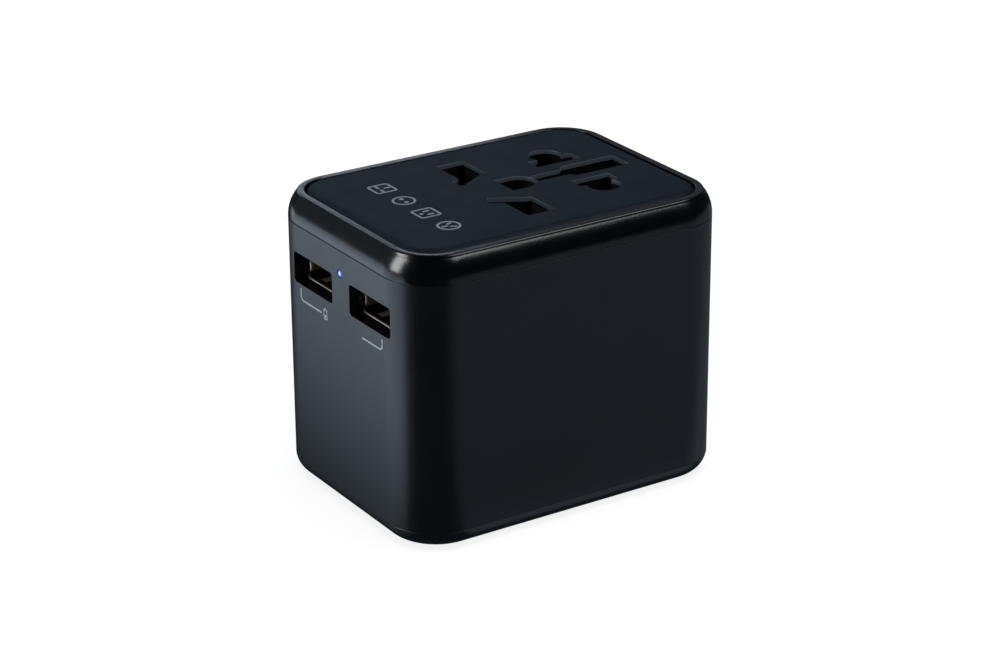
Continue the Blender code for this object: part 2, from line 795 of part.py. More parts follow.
def busbar(name, side):
    """A flat link with a standing rail beside each plug, which the plug's tab wipes along."""
    link_y = mirrored(LINK_Y, side)
    boxes = [((RAILS[0][0], RAILS[2][0] + SHEET), link_y, LINK_Z)]
    for x, near, far in RAILS:
        boxes.append(((x, x + SHEET), mirrored((near, far), side), (RAIL_BOTTOM, LINK_Z[1])))
    return joined_boxes(name, boxes, BRASS)


def fuse_group():
    start = (FUSE_X, -FUSE_HALF, FUSE_Z)
    end = (FUSE_X, FUSE_HALF, FUSE_Z)
    fuse = cylinder("fuse", FUSE_RADIUS, start, end, CERAMIC, steps=20)
    shade_round(fuse)
    half = FUSE_RADIUS + GAP
    base = USB_BOARD_Z[1] + GAP
    for number, y in enumerate((-CLIP_Y, CLIP_Y), 1):
        wide = around(y, CLIP_HALF)
        boxes = [
            (around(FUSE_X, half + SHEET), wide, (base, base + SHEET)),
            ((FUSE_X - half - SHEET, FUSE_X - half), wide, (base, FUSE_Z + MM)),
            ((FUSE_X + half, FUSE_X + half + SHEET), wide, (base, FUSE_Z + MM)),
        ]
        joined_boxes(f"fuse_clip_{number}", boxes, NICKEL)


# USB charger behind the short face

def usb_port(number, y):
    half_y = USB_SHELL_WIDTH / 2
    half_z = USB_SHELL_HEIGHT / 2
    shell = box(
        f"usb_shell_{number}",
        USB_SHELL_X,
        around(y, half_y),
        around(PORT_Z, half_z),
        STEEL,
        radius=0.7 * MM,
        axis=0,
    )
    inside = box(
        f"usb_inside_{number}",
        (USB_SHELL_X[0] - MM, USB_SHELL_X[1] + MM),
        around(y, half_y - USB_SHELL_SHEET),
        around(PORT_Z, half_z - USB_SHELL_SHEET),
        radius=0.4 * MM,
        axis=0,
    )
    cut(shell, inside)
    back = USB_SHELL_X[1]
    tongue = [
        (
            (back - 2 * MM, back - GAP),
            around(y, TONGUE_BASE_HALF[0]),
            around(PORT_Z, TONGUE_BASE_HALF[1]),
        ),
        (
            (TONGUE_FRONT, back - MM),
            around(y, TONGUE_HALF),
            (PORT_Z + TONGUE_Z[0], PORT_Z + TONGUE_Z[1]),
        ),
    ]
    joined_boxes(f"usb_tongue_{number}", tongue, INNER_PLASTIC)


def usb_electronics():
    box("usb_board", USB_BOARD_X, around(0, USB_BOARD_HALF), USB_BOARD_Z, BOARD_GREEN)
    box("power_board", POWER_BOARD_X, around(0, POWER_BOARD_HALF), POWER_BOARD_Z, BOARD_GREEN)
    core = box("transformer_core", CORE_X, around(0, CORE_HALF), CORE_Z, FERRITE)
    eye_half = CORE_HALF - CORE_LEG
    eye_z = (CORE_Z[0] + CORE_LEG, CORE_Z[1] - CORE_LEG)
    eye_x = (CORE_X[0] - MM, CORE_X[1] + MM)
    cut(core, box("core_hole", eye_x, around(0, eye_half), eye_z))
    box(
        "transformer_winding",
        WINDING_X,
        around(0, eye_half - WINDING_PLAY),
        (eye_z[0] + WINDING_PLAY, eye_z[1] - WINDING_PLAY),
        TAPE,
        radius=1.5 * MM,
        axis=0,
    )
    for name, radius, low, high in CAPACITORS:
        start = (CAPACITOR_X, low, CAPACITOR_Z)
        end = (CAPACITOR_X, high, CAPACITOR_Z)
        shade_round(cylinder(name, radius, start, end, CAN, steps=20))


def status_light():
    base = USB_BOARD_Z[1] + GAP
    chip_z = (base, base + LED_CHIP_HEIGHT)
    box("status_led", LED_CHIP_X, around(LED_Y, LED_CHIP_HALF), chip_z, CERAMIC)
    stem_z = (chip_z[1] + 0.4 * MM, LED_Z + LED_HOLE_RADIUS - GAP)
    pipe = box("light_pipe", PIPE_X, around(LED_Y, MM), stem_z, CLEAR)
    nose = cylinder(
        "pipe_nose",
        LED_HOLE_RADIUS - GAP,
        (-LENGTH / 2 + 0.05 * MM, LED_Y, LED_Z),
        (PIPE_X[1] - 0.4 * MM, LED_Y, LED_Z),
        steps=16,
    )
    join(pipe, nose)


# Plugs: a carrier on the inside and a knob with a lock button on the outside

def carrier_head(x, base, name):
    """The upright end that the knob clips to."""
    return box(
        name,
        around(x, HEAD_HALF),
        (HEAD_BACK, CARRIER_FRONT),
        (base, base + HEAD_HEIGHT),
    )


def add_head(carrier, x, base):
    join(carrier, carrier_head(x, base, f"{carrier.name}_head"))
    pocket = box(
        f"{carrier.name}_pocket",
        around(x, BUTTON_HALF + GAP),
        (POCKET_BACK, CARRIER_FRONT + MM),
        (base + BUTTON_Z[0] - GAP, base + BUTTON_Z[1] + GAP),
    )
    cut(carrier, pocket)


def knob(name, x, base):
    """The slab that the thumb pushes, its stub through the slot, and its grip ridges."""
    slab = box(
        name,
        around(x, KNOB_HALF),
        (KNOB_BACK, KNOB_FRONT - RIDGE_PROUD),
        (base + KNOB_Z[0], base + KNOB_Z[1]),
        KNOB_PLASTIC,
        radius=MM,
        axis=1,
    )
    stub = box(
        f"{name}_stub",
        around(x, BUTTON_HALF),
        (CARRIER_FRONT + GAP, KNOB_BACK + 0.5 * MM),
        (base + STUB_Z[0], base + STUB_Z[1]),
    )
    join(slab, stub)
    for number, height in enumerate(RIDGE_HEIGHTS):
        ridge = box(
            f"{name}_ridge_{number}",
            around(x, KNOB_HALF - RIDGE_MARGIN),
            (KNOB_BACK + RIDGE_HALF, KNOB_FRONT),
            around(base + height, RIDGE_HALF),
        )
        join(slab, ridge)
    opening = box(
        f"{name}_opening",
        around(x, BUTTON_HALF + GAP),
        (KNOB_BACK - MM, KNOB_FRONT + MM),
        (base + BUTTON_Z[0] - GAP, base + BUTTON_Z[1] + GAP),
    )
    cut(slab, opening)
    return slab


def lock_button(name, x, base):
    return box(
        name,
        around(x, BUTTON_HALF),
        (BUTTON_BACK, BUTTON_FRONT),
        (base + BUTTON_Z[0], base + BUTTON_Z[1]),
        BUTTON_PLASTIC,
        radius=0.4 * MM,
        axis=1,
    )


def button_spring(name, x, base):
    """A small coil, as a poly curve, between the pocket's back and the button."""
    start = POCKET_BACK + 0.4 * MM
    length = BUTTON_BACK - 0.3 * MM - start
    count = SPRING_TURNS * SPRING_STEPS
    z = base + (BUTTON_Z[0] + BUTTON_Z[1]) / 2
    curve = bpy.data.curves.new(name, "CURVE")
    curve.dimensions = "3D"
    curve.bevel_depth = SPRING_WIRE_RADIUS
    curve.bevel_resolution = 1
    curve.use_fill_caps = True
    spline = curve.splines.new("POLY")
    spline.points.add(count)
    for step, point in enumerate(spline.points):
        turn = 2 * math.pi * step / SPRING_STEPS
        y = start + length * step / count
        across = SPRING_RADIUS * math.cos(turn)
        height = SPRING_RADIUS * math.sin(turn)
        point.co = (x + across, y, z + height, 1)
    spring = bpy.data.objects.new(name, curve)
    curve.materials.append(STEEL)
    PARTS.objects.link(spring)
    return spring


def move_curve(obj, empty):
    start = world_start(empty)
    obj.data.transform(Matrix.Translation(-start))
    obj.parent = empty


def operating_parts(tag, x, base, slider):
    """The knob, lock button and spring that each plug has."""
    attach(knob(f"{tag}_knob", x, base), slider)
    press = joint_empty(f"{tag}_button_axis", (0, 0, 0))
    press.parent = slider
    press.location = Vector((x, BUTTON_FRONT, base + BUTTON_Z[0])) - slider.location
    attach(lock_button(f"{tag}_lock_button", x, base), press)
    move_curve(button_spring(f"{tag}_button_spring", x, base), slider)


def eu_plug():
    base = CARRIER_LOW + EU_TRAVEL
    slider = joint_empty("eu_slider_axis", (EU_PLUG_X, 0, base))
    carrier = box(
        "eu_carrier",
        around(EU_PLUG_X, EU_BAR_HALF),
        (-EU_BAR_BACK, CARRIER_FRONT),
        (base, base + CARRIER_THICK),
        CARRIER_PLASTIC,
    )
    add_head(carrier, EU_PLUG_X, base)
    for name, side in (("live", 1), ("neutral", -1)):
        y = side * EU_PITCH / 2
        hole = cylinder(
            f"eu_hole_{name}",
            EU_PIN_RADIUS + GAP,
            (EU_PLUG_X, y, base - MM),
            (EU_PLUG_X, y, base + CARRIER_THICK + MM),
            steps=20,
        )
        cut(carrier, hole)
        tab_low = base + CARRIER_THICK + GAP
        pin = cylinder(
            f"eu_pin_{name}",
            EU_PIN_RADIUS,
            (EU_PLUG_X, y, PIN_TIP),
            (EU_PLUG_X, y, tab_low + SHEET / 2),
            NICKEL,
            steps=20,
            tip=EU_TIP_ROUND,
        )
        tab = box(
            f"eu_tab_{name}",
            (EU_PLUG_X - TAB_REACH, RAILS[2][0] - GAP),
            around(y, 1.5 * MM),
            (tab_low, tab_low + SHEET),
        )
        join(pin, tab)
        shade_round(pin)
        attach(pin, slider)
    attach(carrier, slider)
    operating_parts("eu", EU_PLUG_X, base, slider)


def square_pin(name, centre_x, centre_y, size_x, size_y, low, high, surface):
    """A square pin with its lower edges chamfered."""
    bm = bmesh.new()
    bmesh.ops.create_cube(bm, size=1.0)
    bmesh.ops.scale(bm, vec=(size_x, size_y, high - low), verts=bm.verts)
    bmesh.ops.translate(bm, vec=(centre_x, centre_y, (low + high) / 2), verts=bm.verts)
    tip = [e for e in bm.edges if all(v.co.z < low + MM for v in e.verts)]
    bmesh.ops.bevel(bm, geom=tip, offset=UK_TIP_CHAMFER, segments=2, profile=0.5, affect="EDGES")
    return add_object(name, finish_mesh(name, bm), surface)


def uk_carrier(base):
    """The bar across live and neutral, with an arm round the EU plug to the earth pin."""
    z_range = (base, base + CARRIER_THICK)
    earth_x = UK_PLUG_X + UK_PITCH
    bar_x = around(UK_PLUG_X, HEAD_HALF)
    boxes = [
        (bar_x, (UK_ARM_SIDE_Y[0], CARRIER_FRONT), z_range),
        ((bar_x[0], UK_ARM_X[1]), UK_ARM_SIDE_Y, z_range),
        (UK_ARM_X, (UK_ARM_SIDE_Y[0], UK_ARM_END_HALF), z_range),
        ((UK_ARM_X[0], earth_x + UK_ARM_END_REACH), around(0, UK_ARM_END_HALF), z_range),
    ]
    carrier = joined_boxes("uk_carrier", boxes, CARRIER_PLASTIC)
    add_head(carrier, UK_PLUG_X, base)
    return carrier


def uk_plug():
    base = CARRIER_LOW + UK_TRAVEL
    top = base + CARRIER_THICK + GAP
    slider = joint_empty("uk_slider_axis", (UK_PLUG_X, 0, base))
    carrier = uk_carrier(base)
    earth_x = UK_PLUG_X + UK_PITCH
    places = (
        ("uk_pin_live", UK_PLUG_X, UK_PITCH / 2, UK_PIN_THICK, UK_PIN_WIDE),
        ("uk_pin_neutral", UK_PLUG_X, -UK_PITCH / 2, UK_PIN_THICK, UK_PIN_WIDE),
        ("uk_earth_pin", earth_x, 0, UK_EARTH_WIDE, UK_PIN_THICK),
    )
    for name, x, y, size_x, size_y in places:
        hole = box(
            f"{name}_hole",
            around(x, size_x / 2 + GAP),
            around(y, size_y / 2 + GAP),
            (base - MM, base + CARRIER_THICK + MM),
        )
        cut(carrier, hole)
        earth = name == "uk_earth_pin"
        low = PIN_TIP if earth else PIN_TIP + UK_EARTH_LEAD
        surface = INNER_PLASTIC if earth else BRASS
        pin = square_pin(name, x, y, size_x, size_y, low, top + SHEET / 2, surface)
        tab_x = around(x, size_x / 2 + MM) if earth else (x - TAB_REACH, RAILS[1][0] - GAP)
        tab_half = size_y / 2 + (0.6 * MM if earth else -1.2 * MM)
        join(pin, box(f"{name}_tab", tab_x, around(y, tab_half), (top, top + SHEET)))
        attach(pin, slider)
    attach(carrier, slider)
    operating_parts("uk", UK_PLUG_X, base, slider)


def us_blade(name, side, base, slider):
    """A flat blade under a round turret, which turns to the slanted Australian position."""
    y = side * US_PITCH / 2
    turret_top = base - GAP
    blade = box(
        name,
        around(US_PLUG_X, BLADE_WIDE / 2),
        around(y, BLADE_THICK / 2),
        (PIN_TIP, turret_top - TURRET_HEIGHT / 2),
        BRASS,
        radius=BLADE_TIP_ROUND,
        axis=1,
    )
    turret = cylinder(
        f"{name}_turret",
        TURRET_RADIUS,
        (US_PLUG_X, y, turret_top - TURRET_HEIGHT),
        (US_PLUG_X, y, turret_top),
    )
    stud = cylinder(
        f"{name}_stud",
        STUD_RADIUS,
        (US_PLUG_X, y, turret_top - MM),
        (US_PLUG_X, y, base + CARRIER_THICK - MM),
        steps=20,
    )
    join(blade, turret, stud)
    axis = joint_empty(f"{name}_axis", (0, 0, 0))
    axis.parent = slider
    axis.location = (0, y, 0)
    attach(blade, axis)


def us_plug():
    base = CARRIER_LOW + US_TRAVEL
    z_range = (base, base + CARRIER_THICK)
    slider = joint_empty("us_slider_axis", (US_PLUG_X, 0, base))
    boxes = [
        (around(US_PLUG_X, US_BAR_HALF[0]), around(0, US_BAR_HALF[1]), z_range),
        (around(US_PLUG_X, HEAD_HALF), (10 * MM, CARRIER_FRONT), z_range),
    ]
    carrier = joined_boxes("us_carrier", boxes, CARRIER_PLASTIC)
    add_head(carrier, US_PLUG_X, base)
    for name, side in (("live", 1), ("neutral", -1)):
        y = side * US_PITCH / 2
        hole = cylinder(
            f"us_hole_{name}",
            STUD_RADIUS + GAP,
            (US_PLUG_X, y, base - MM),
            (US_PLUG_X, y, base + CARRIER_THICK + MM),
            steps=20,
        )
        cut(carrier, hole)
        us_blade(f"us_blade_{name}", side, base, slider)
        wiper_low = z_range[1] + GAP
        wiper = box(
            f"us_wiper_{name}",
            (US_PLUG_X - US_WIPER_REACH, RAILS[0][0] - GAP),
            around(y + side * SHEET, US_WIPER_HALF),
            (wiper_low, wiper_low + SHEET),
            BRASS,
        )
        attach(wiper, slider)
    attach(carrier, slider)
    operating_parts("us", US_PLUG_X, base, slider)


main_housing()
bottom_cover()
for screw_number, (screw_x, screw_y) in enumerate(screw_places(), 1):
    housing_screw(screw_number, screw_x, screw_y)
top_cap()
socket_panel()
socket_guide()
contact_tray()
socket_contact("live_contact", 1)
socket_contact("neutral_contact", -1)
busbar("live_busbar", 1)
busbar("neutral_busbar", -1)
fuse_group()
for port_number, port_y in enumerate(PORT_YS, 1):
    usb_port(port_number, port_y)
usb_electronics()
status_light()
eu_plug()
uk_plug()
us_plug()
bpy.context.view_layer.update()
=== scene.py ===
import math
from functools import partialmethod

import bmesh
import bpy
from mathutils import Matrix, Vector


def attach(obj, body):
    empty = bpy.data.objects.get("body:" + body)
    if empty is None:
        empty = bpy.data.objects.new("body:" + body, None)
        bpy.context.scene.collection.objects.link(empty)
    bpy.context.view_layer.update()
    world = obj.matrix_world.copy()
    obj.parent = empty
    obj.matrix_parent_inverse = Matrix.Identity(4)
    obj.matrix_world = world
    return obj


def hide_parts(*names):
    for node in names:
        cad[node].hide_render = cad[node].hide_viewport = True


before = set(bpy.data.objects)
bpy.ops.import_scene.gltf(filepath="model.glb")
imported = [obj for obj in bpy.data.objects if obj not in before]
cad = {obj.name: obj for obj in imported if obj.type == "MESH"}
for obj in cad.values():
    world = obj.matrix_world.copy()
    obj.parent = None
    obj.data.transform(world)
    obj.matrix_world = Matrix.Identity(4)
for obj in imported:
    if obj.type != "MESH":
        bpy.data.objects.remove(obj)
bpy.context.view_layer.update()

# Camera and studio: the adapter stands on a pale, evenly lit table. Softboxes draw the bright lines
# on its edges. Cards under and behind it, which only its gloss sees, give each face its sheen.
MM = 0.001
AIM = Vector((0, 0, 28 * MM))
CAMERA_AZIMUTH = math.radians(-32.825)
CAMERA_ELEVATION = math.radians(22.706)
CAMERA_ROLL = math.radians(-0.300)
CAMERA_DISTANCE = 520.12 * MM
CAMERA_SLIDE = (-0.117 * MM, -1.649 * MM)
LENS = 103.66
SENSOR_WIDTH = 36
NEAREST_SEEN = 0.01

back = Vector((
    math.sin(CAMERA_AZIMUTH) * math.cos(CAMERA_ELEVATION),
    -math.cos(CAMERA_AZIMUTH) * math.cos(CAMERA_ELEVATION),
    math.sin(CAMERA_ELEVATION),
))
level = Vector((math.cos(CAMERA_AZIMUTH), math.sin(CAMERA_AZIMUTH), 0))
upright = back.cross(level)
right = math.cos(CAMERA_ROLL) * level + math.sin(CAMERA_ROLL) * upright
up = math.cos(CAMERA_ROLL) * upright - math.sin(CAMERA_ROLL) * level
eye = AIM + back * CAMERA_DISTANCE + right * CAMERA_SLIDE[0] + up * CAMERA_SLIDE[1]
camera_data = bpy.data.cameras.new("camera")
camera_data.lens = LENS
camera_data.sensor_width = SENSOR_WIDTH
camera_data.clip_start = NEAREST_SEEN
camera = bpy.data.objects.new("camera", camera_data)
camera.matrix_world = Matrix.Translation(eye) @ Matrix((right, up, back)).transposed().to_4x4()
bpy.context.scene.collection.objects.link(camera)
bpy.context.scene.camera = camera
bpy.context.scene.view_settings.view_transform = "Standard"


class Wire:
    """A shader socket that takes +, - and * as Math nodes."""

    def __init__(self, finish, socket):
        self.finish = finish
        self.socket = socket

    def math(self, operation, other):
        sockets = {0: self, 1: other}
        return self.finish.node("ShaderNodeMath", {"operation": operation}, sockets)

    __add__ = partialmethod(math, "ADD")
    __sub__ = partialmethod(math, "SUBTRACT")
    __mul__ = partialmethod(math, "MULTIPLY")


class Finish:
    """One material: node() adds a node, and surface() sets the Principled shader's sockets."""

    def __init__(self, name):
        self.material = bpy.data.materials.new(name)
        self.material.use_nodes = True
        self.tree = self.material.node_tree
        self.shader = self.tree.nodes["Principled BSDF"]
        self.place = self.node("ShaderNodeTexCoord", out="Object")

    def node(self, kind, settings=None, sockets=None, out=0):
        made = self.tree.nodes.new(kind)
        for key, value in (settings or {}).items():
            if key == "stops":
                ramp = made.color_ramp.elements
                while len(ramp) < len(value):
                    ramp.new(0.5)
                for stop, (position, shade) in zip(ramp, value):
                    stop.position = position
                    stop.color = (*shade, 1)
            else:
                setattr(made, key, value)
        for key, value in (sockets or {}).items():
            if isinstance(value, Wire):
                self.tree.links.new(value.socket, made.inputs[key])
            else:
                made.inputs[key].default_value = value
        return Wire(self, made.outputs[out])

    def surface(self, **sockets):
        for key, value in sockets.items():
            socket = self.shader.inputs[key.replace("_", " ")]
            if isinstance(value, Wire):
                self.tree.links.new(value.socket, socket)
            else:
                socket.default_value = value
        return self.material

    def noise(self, size, detail=3, stretch=(1, 1, 1)):
        """Noise with features of this size in metres, drawn out along an axis by stretch."""
        scaled = self.node("ShaderNodeMapping", None, {"Vector": self.place, "Scale": stretch})
        return self.node(
            "ShaderNodeTexNoise", None, {"Vector": scaled, "Scale": 1 / size, "Detail": detail}
        )

    def bump(self, height, distance):
        sockets = {"Height": height, "Distance": distance, "Strength": 1.0}
        return self.node("ShaderNodeBump", None, sockets)

    def blend(self, factor, first, second):
        """From colour first to colour second as factor goes from 0 to 1."""
        first, second = ((*c, 1) if isinstance(c, tuple) else c for c in (first, second))
        sockets = {0: factor, 6: first, 7: second}
        return self.node("ShaderNodeMix", {"data_type": "RGBA"}, sockets, out=2)

    def patterned(self, pattern, first, second, swing, roughness, depth):
        """Colour, roughness and relief that all follow one pattern."""
        return self.surface(
            Base_Color=self.blend(pattern, first, second),
            Roughness=pattern * swing + roughness,
            Normal=self.bump(pattern, depth),
        )

    def glowing(self, strength, colour, diffuse=(0, 0, 0)):
        """A surface that gives off light and has no gloss of its own."""
        return self.surface(
            Base_Color=(*diffuse, 1),
            Roughness=1.0,
            Specular_IOR_Level=0.0,
            Emission_Color=(*colour, 1),
            Emission_Strength=strength,
        )


def oblong(u_range, v_range):
    """The corners of a rectangle, in order."""
    (u_low, u_high), (v_low, v_high) = u_range, v_range
    return [(u_low, v_low), (u_high, v_low), (u_high, v_high), (u_low, v_high)]


def add_mesh(name, mesh, material=None):
    piece = bpy.data.objects.new(name, mesh)
    bpy.context.scene.collection.objects.link(piece)
    if material:
        mesh.materials.append(material)
    return piece


def card(name, corners, material):
    """A flat card of the studio. It is not part of the adapter."""
    mesh = bpy.data.meshes.new(name)
    mesh.from_pydata(corners, [], [range(len(corners))])
    piece = add_mesh(name, mesh, material)
    return piece


def softbox(name, position, aim, size, radiance, unseen):
    """A rectangular lamp; unseen names the kind of ray that misses it."""
    light = bpy.data.lights.new(name, "AREA")
    light.shape = "RECTANGLE"
    light.size, light.size_y = size
    light.energy = radiance * math.pi * size[0] * size[1]
    lamp = bpy.data.objects.new(name, light)
    way = Vector(aim) - Vector(position)
    facing = way.to_track_quat("-Z", "Y").to_matrix().to_4x4()
    lamp.matrix_world = Matrix.Translation(position) @ facing
    setattr(lamp, unseen, False)
    bpy.context.scene.collection.objects.link(lamp)


def ramped_glow(name, start, way, ramp):
    """A glow that follows ramp, a list of (distance from start along way, strength)."""
    finish = Finish(name)
    offset = finish.node(
        "ShaderNodeVectorMath", {"operation": "SUBTRACT"}, {0: finish.place, 1: start}
    )
    along = finish.node(
        "ShaderNodeVectorMath", {"operation": "DOT_PRODUCT"}, {0: offset, 1: way}, out="Value"
    )
    reach = ramp[-1][0]
    top = max(strength for _, strength in ramp)
    stops = [(distance / reach, (strength / top,) * 3) for distance, strength in ramp]
    share = finish.node("ShaderNodeMapRange", None, {"Value": along, 1: 0.0, 2: reach})
    glow_ramp = finish.node("ShaderNodeValToRGB", {"stops": stops}, {0: share})
    return finish.glowing(glow_ramp * top, COOL)


def reflection(name, corners, material):
    """A card that is seen only in the adapter's gloss."""
    piece = card(name, corners, material)
    piece.visible_camera = False
    piece.visible_diffuse = False
    piece.visible_shadow = False


def low_card(name, x_range, y_range, material):
    """A card just under the table top."""
    reflection(name, [(x, y, LOW_CARD_Z) for x, y in oblong(x_range, y_range)], material)


def back_card(name, x_range, material):
    """An upright card behind the adapter."""
    corners = oblong(x_range, BACK_CARD_HEIGHT)
    reflection(name, [(x, BACK_CARD_Y, z) for x, z in corners], material)


FLOOR_RANGE = (-4.0, 4.0)
FLOOR_Z = -0.01 * MM
TABLE_GLOW = 0.86
WORLD_COLOUR = (0.020, 0.027, 0.036, 1)
COOL = (0.83, 1.0, 1.2)
LOW_CARD_Z = -2 * MM
BACK_CARD_Y = 0.8
BACK_CARD_HEIGHT = (-0.05, 0.95)
BACK_GLOW = 0.15
RIGHT_GLOW = 0.17

table = Finish("pale_table").glowing(TABLE_GLOW, (1, 1, 1), (0.6, 0.6, 0.6))
nodes, links = table.node_tree.nodes, table.node_tree.links
side = nodes.new("ShaderNodeNewGeometry")
clear = nodes.new("ShaderNodeBsdfTransparent")
either = nodes.new("ShaderNodeMixShader")
output = nodes["Material Output"]
upper_side = output.inputs["Surface"].links[0].from_socket
links.new(side.outputs["Backfacing"], either.inputs[0])
links.new(upper_side, either.inputs[1])
links.new(clear.outputs[0], either.inputs[2])
links.new(either.outputs[0], output.inputs["Surface"])
floor = card("floor", [(x, y, FLOOR_Z) for x, y in oblong(FLOOR_RANGE, FLOOR_RANGE)], table)
floor.visible_glossy = False
world = bpy.data.worlds.new("studio")
bpy.context.scene.world = world
world.use_nodes = True
world.node_tree.nodes["Background"].inputs["Color"].default_value = WORLD_COLOUR
for name, position, aim, size, radiance, unseen in (
    ("top_softbox", (0.05, -0.1, 1.1), (0, 0, 0), (1.1, 1.1), 1.3, "visible_glossy"),
    ("front_softbox", (0.47, -0.475, 0.87), (0, 0, 0.05), (0.62, 0.4), 5.8, "visible_diffuse"),
    ("left_softbox", (-0.66, 0.23, 0.31), (0, 0, 0.05), (0.28, 0.52), 9.5, "visible_diffuse"),
):
    softbox(name, position, aim, size, radiance, unseen)
left_glow = ramped_glow(
    "left_glow", (-0.034, 0, 0), (-1, -0.15, 0),
    [(0, 0.12), (0.012, 0.36), (0.03, 0.85), (0.06, 1.7), (0.075, 1.7), (0.11, 1.3), (0.4, 1.1)],
)
front_glow = ramped_glow(
    "front_glow", (0, -0.026, 0), (0, -1, 0),
    [(0, 0.42), (0.005, 0.34), (0.011, 0.18), (0.03, 0.2), (0.08, 0.28)],
)
strip_glow = ramped_glow(
    "strip_glow", (0, 0, 0.28), (0, 0, 1),
    [(0, 0.05), (0.03, 2.0), (0.08, 2.3), (0.1, 0.12), (0.7, 0.12)],
)
dim_glow = Finish("dim_glow").glowing(BACK_GLOW, COOL)
side_glow = Finish("side_glow").glowing(RIGHT_GLOW, COOL)
low_card("left_reflection", (-0.52, -0.034), (-0.018, 0.75), left_glow)
low_card("front_reflection", (-0.02, 0.9), (-0.46, -0.026), front_glow)
low_card("right_reflection", (0.034, 0.9), (-0.026, 0.1), side_glow)
back_card("back_reflection", (-0.3, 0.51), strip_glow)
back_card("back_left_reflection", (-1.4, -0.305), dim_glow)
back_card("back_right_reflection", (0.515, 1.7), dim_glow)

# Housing sleeve: one injection-moulded tube of near-black polycarbonate. It has satin walls 2 mm
# thick, tall rounded corners, the two port windows, and three thumb tracks in the rear wall.
LENGTH = 66.5 * MM
WIDTH = 50.0 * MM
CORNER_RADIUS = 9.95 * MM
CORNER_STEPS = 40
GAP = 0.3 * MM
WALL = 2.0 * MM
SLEEVE_BOTTOM = 3.46 * MM
SLEEVE_TOP = 49.45 * MM
EDGE = 0.1 * MM
SEAM_EDGE = 0.04 * MM
EDGE_STEPS = 4
PORT_Z = 41.45 * MM
PORT_YS = (9.2 * MM, -10.2 * MM)
WINDOW_HALF = (6.7 * MM, 2.8 * MM)
LED_Y = -0.3 * MM
LED_Z = 45.2 * MM
LED_HOLE_RADIUS = 0.7 * MM
TRACK_BACK = 20.6 * MM
TRACK_X = (-18.4 * MM, 15.4 * MM)
TRACK_Z = (5.8 * MM, 39.0 * MM)
CARRIER_LOW = 3.4 * MM
CHANNEL_FLOOR = 23.3 * MM
CHANNEL_HALF = 4.4 * MM
SLOT_HALF = 2.0 * MM
PLUGS = {"us": (-13.0 * MM, 17.0 * MM), "uk": (-1.1 * MM, 22.5 * MM), "eu": (10.0 * MM, 19.0 * MM)}
KNOB_Z = (1.9 * MM, 10.4 * MM)
BUTTON_Z = (4.4 * MM, 6.9 * MM)
SCREWS = [(x * 25.9 * MM, y * 17.6 * MM) for x in (-1, 1) for y in (-1, 1)]
BOSS_RADIUS = 2.5 * MM
BOSS_BOTTOM = 2.7 * MM
BOSS_TOP = 18.0 * MM
BORE_RADIUS = 1.3 * MM
BORE_TOP = 15 * MM
RIB_HALF = 0.8 * MM
RIB_BOTTOM = 5.7 * MM
WINDOW_DEPTH = 6 * MM
SLOT_DEPTH = 7 * MM
UP = (0, 0, 1)
WELD = 1e-7
LEAST_MITRE = 0.3
MOTTLE = 0.25


def in_mm(pairs):
    """Pairs of millimetres, in metres."""
    return [(u * MM, v * MM) for u, v in pairs]


def quarter_turn(steps):
    """Angles from 0 to 90 degrees."""
    return [math.pi / 2 * step / steps for step in range(steps + 1)]


def rounded(half_x, half_y, radius, steps=CORNER_STEPS):
    """A rounded rectangle, as points in order."""
    points = []
    for quarter, (sx, sy) in enumerate(((1, 1), (-1, 1), (-1, -1), (1, -1))):
        for step in range(steps + 1):
            turn = math.pi / 2 * (quarter + step / steps)
            points.append((
                sx * (half_x - radius) + radius * math.cos(turn),
                sy * (half_y - radius) + radius * math.sin(turn),
            ))
    return points


def ring(inset, z, radius=None):
    """One level of the shell, this far inside its outer faces."""
    radius = CORNER_RADIUS - inset if radius is None else radius
    return [(x, y, z) for x, y in rounded(LENGTH / 2 - inset, WIDTH / 2 - inset, radius)]


def from_bmesh(name, bm, material=None):
    bmesh.ops.remove_doubles(bm, verts=bm.verts, dist=WELD)
    bmesh.ops.recalc_face_normals(bm, faces=bm.faces)
    mesh = bpy.data.meshes.new(name)
    bm.to_mesh(mesh)
    bm.free()
    return add_mesh(name, mesh, material)


def skin(bm, rings, closed=False):
    """Joins rings of equal count. It fills the two ends, or closed joins the last to the first."""
    levels = [[bm.verts.new(point) for point in points] for points in rings]
    pairs = list(zip(levels, levels[1:]))
    if closed:
        pairs.append((levels[-1], levels[0]))
    for lower, upper in pairs:
        for i in range(len(lower)):
            j = (i + 1) % len(lower)
            bm.faces.new((lower[i], lower[j], upper[j], upper[i]))
    if not closed:
        bm.faces.new(levels[0])
        bm.faces.new(levels[-1])


def lofted(name, rings, material=None, closed=False):
    bm = bmesh.new()
    skin(bm, rings, closed)
    return from_bmesh(name, bm, material)


def block(name, x_range, y_range, z_range, material=None, bevel=0.0, segments=3, axis=None):
    """A block between two corners, with its edges (or those along axis) rounded."""
    low = Vector((x_range[0], y_range[0], z_range[0]))
    high = Vector((x_range[1], y_range[1], z_range[1]))
    bm = bmesh.new()
    bmesh.ops.create_cube(bm, size=1.0)
    bmesh.ops.scale(bm, vec=high - low, verts=bm.verts)
    bmesh.ops.translate(bm, vec=(high + low) / 2, verts=bm.verts)
    if bevel:
        edges = [
            e for e in bm.edges
            if axis is None or abs((e.verts[0].co - e.verts[1].co).normalized()[axis]) > 0.9
        ]
        bmesh.ops.bevel(
            bm, geom=edges, offset=bevel, segments=segments, profile=0.5, affect="EDGES"
        )
    return from_bmesh(name, bm, material)


def around(centre, half):
    return (centre - half, centre + half)


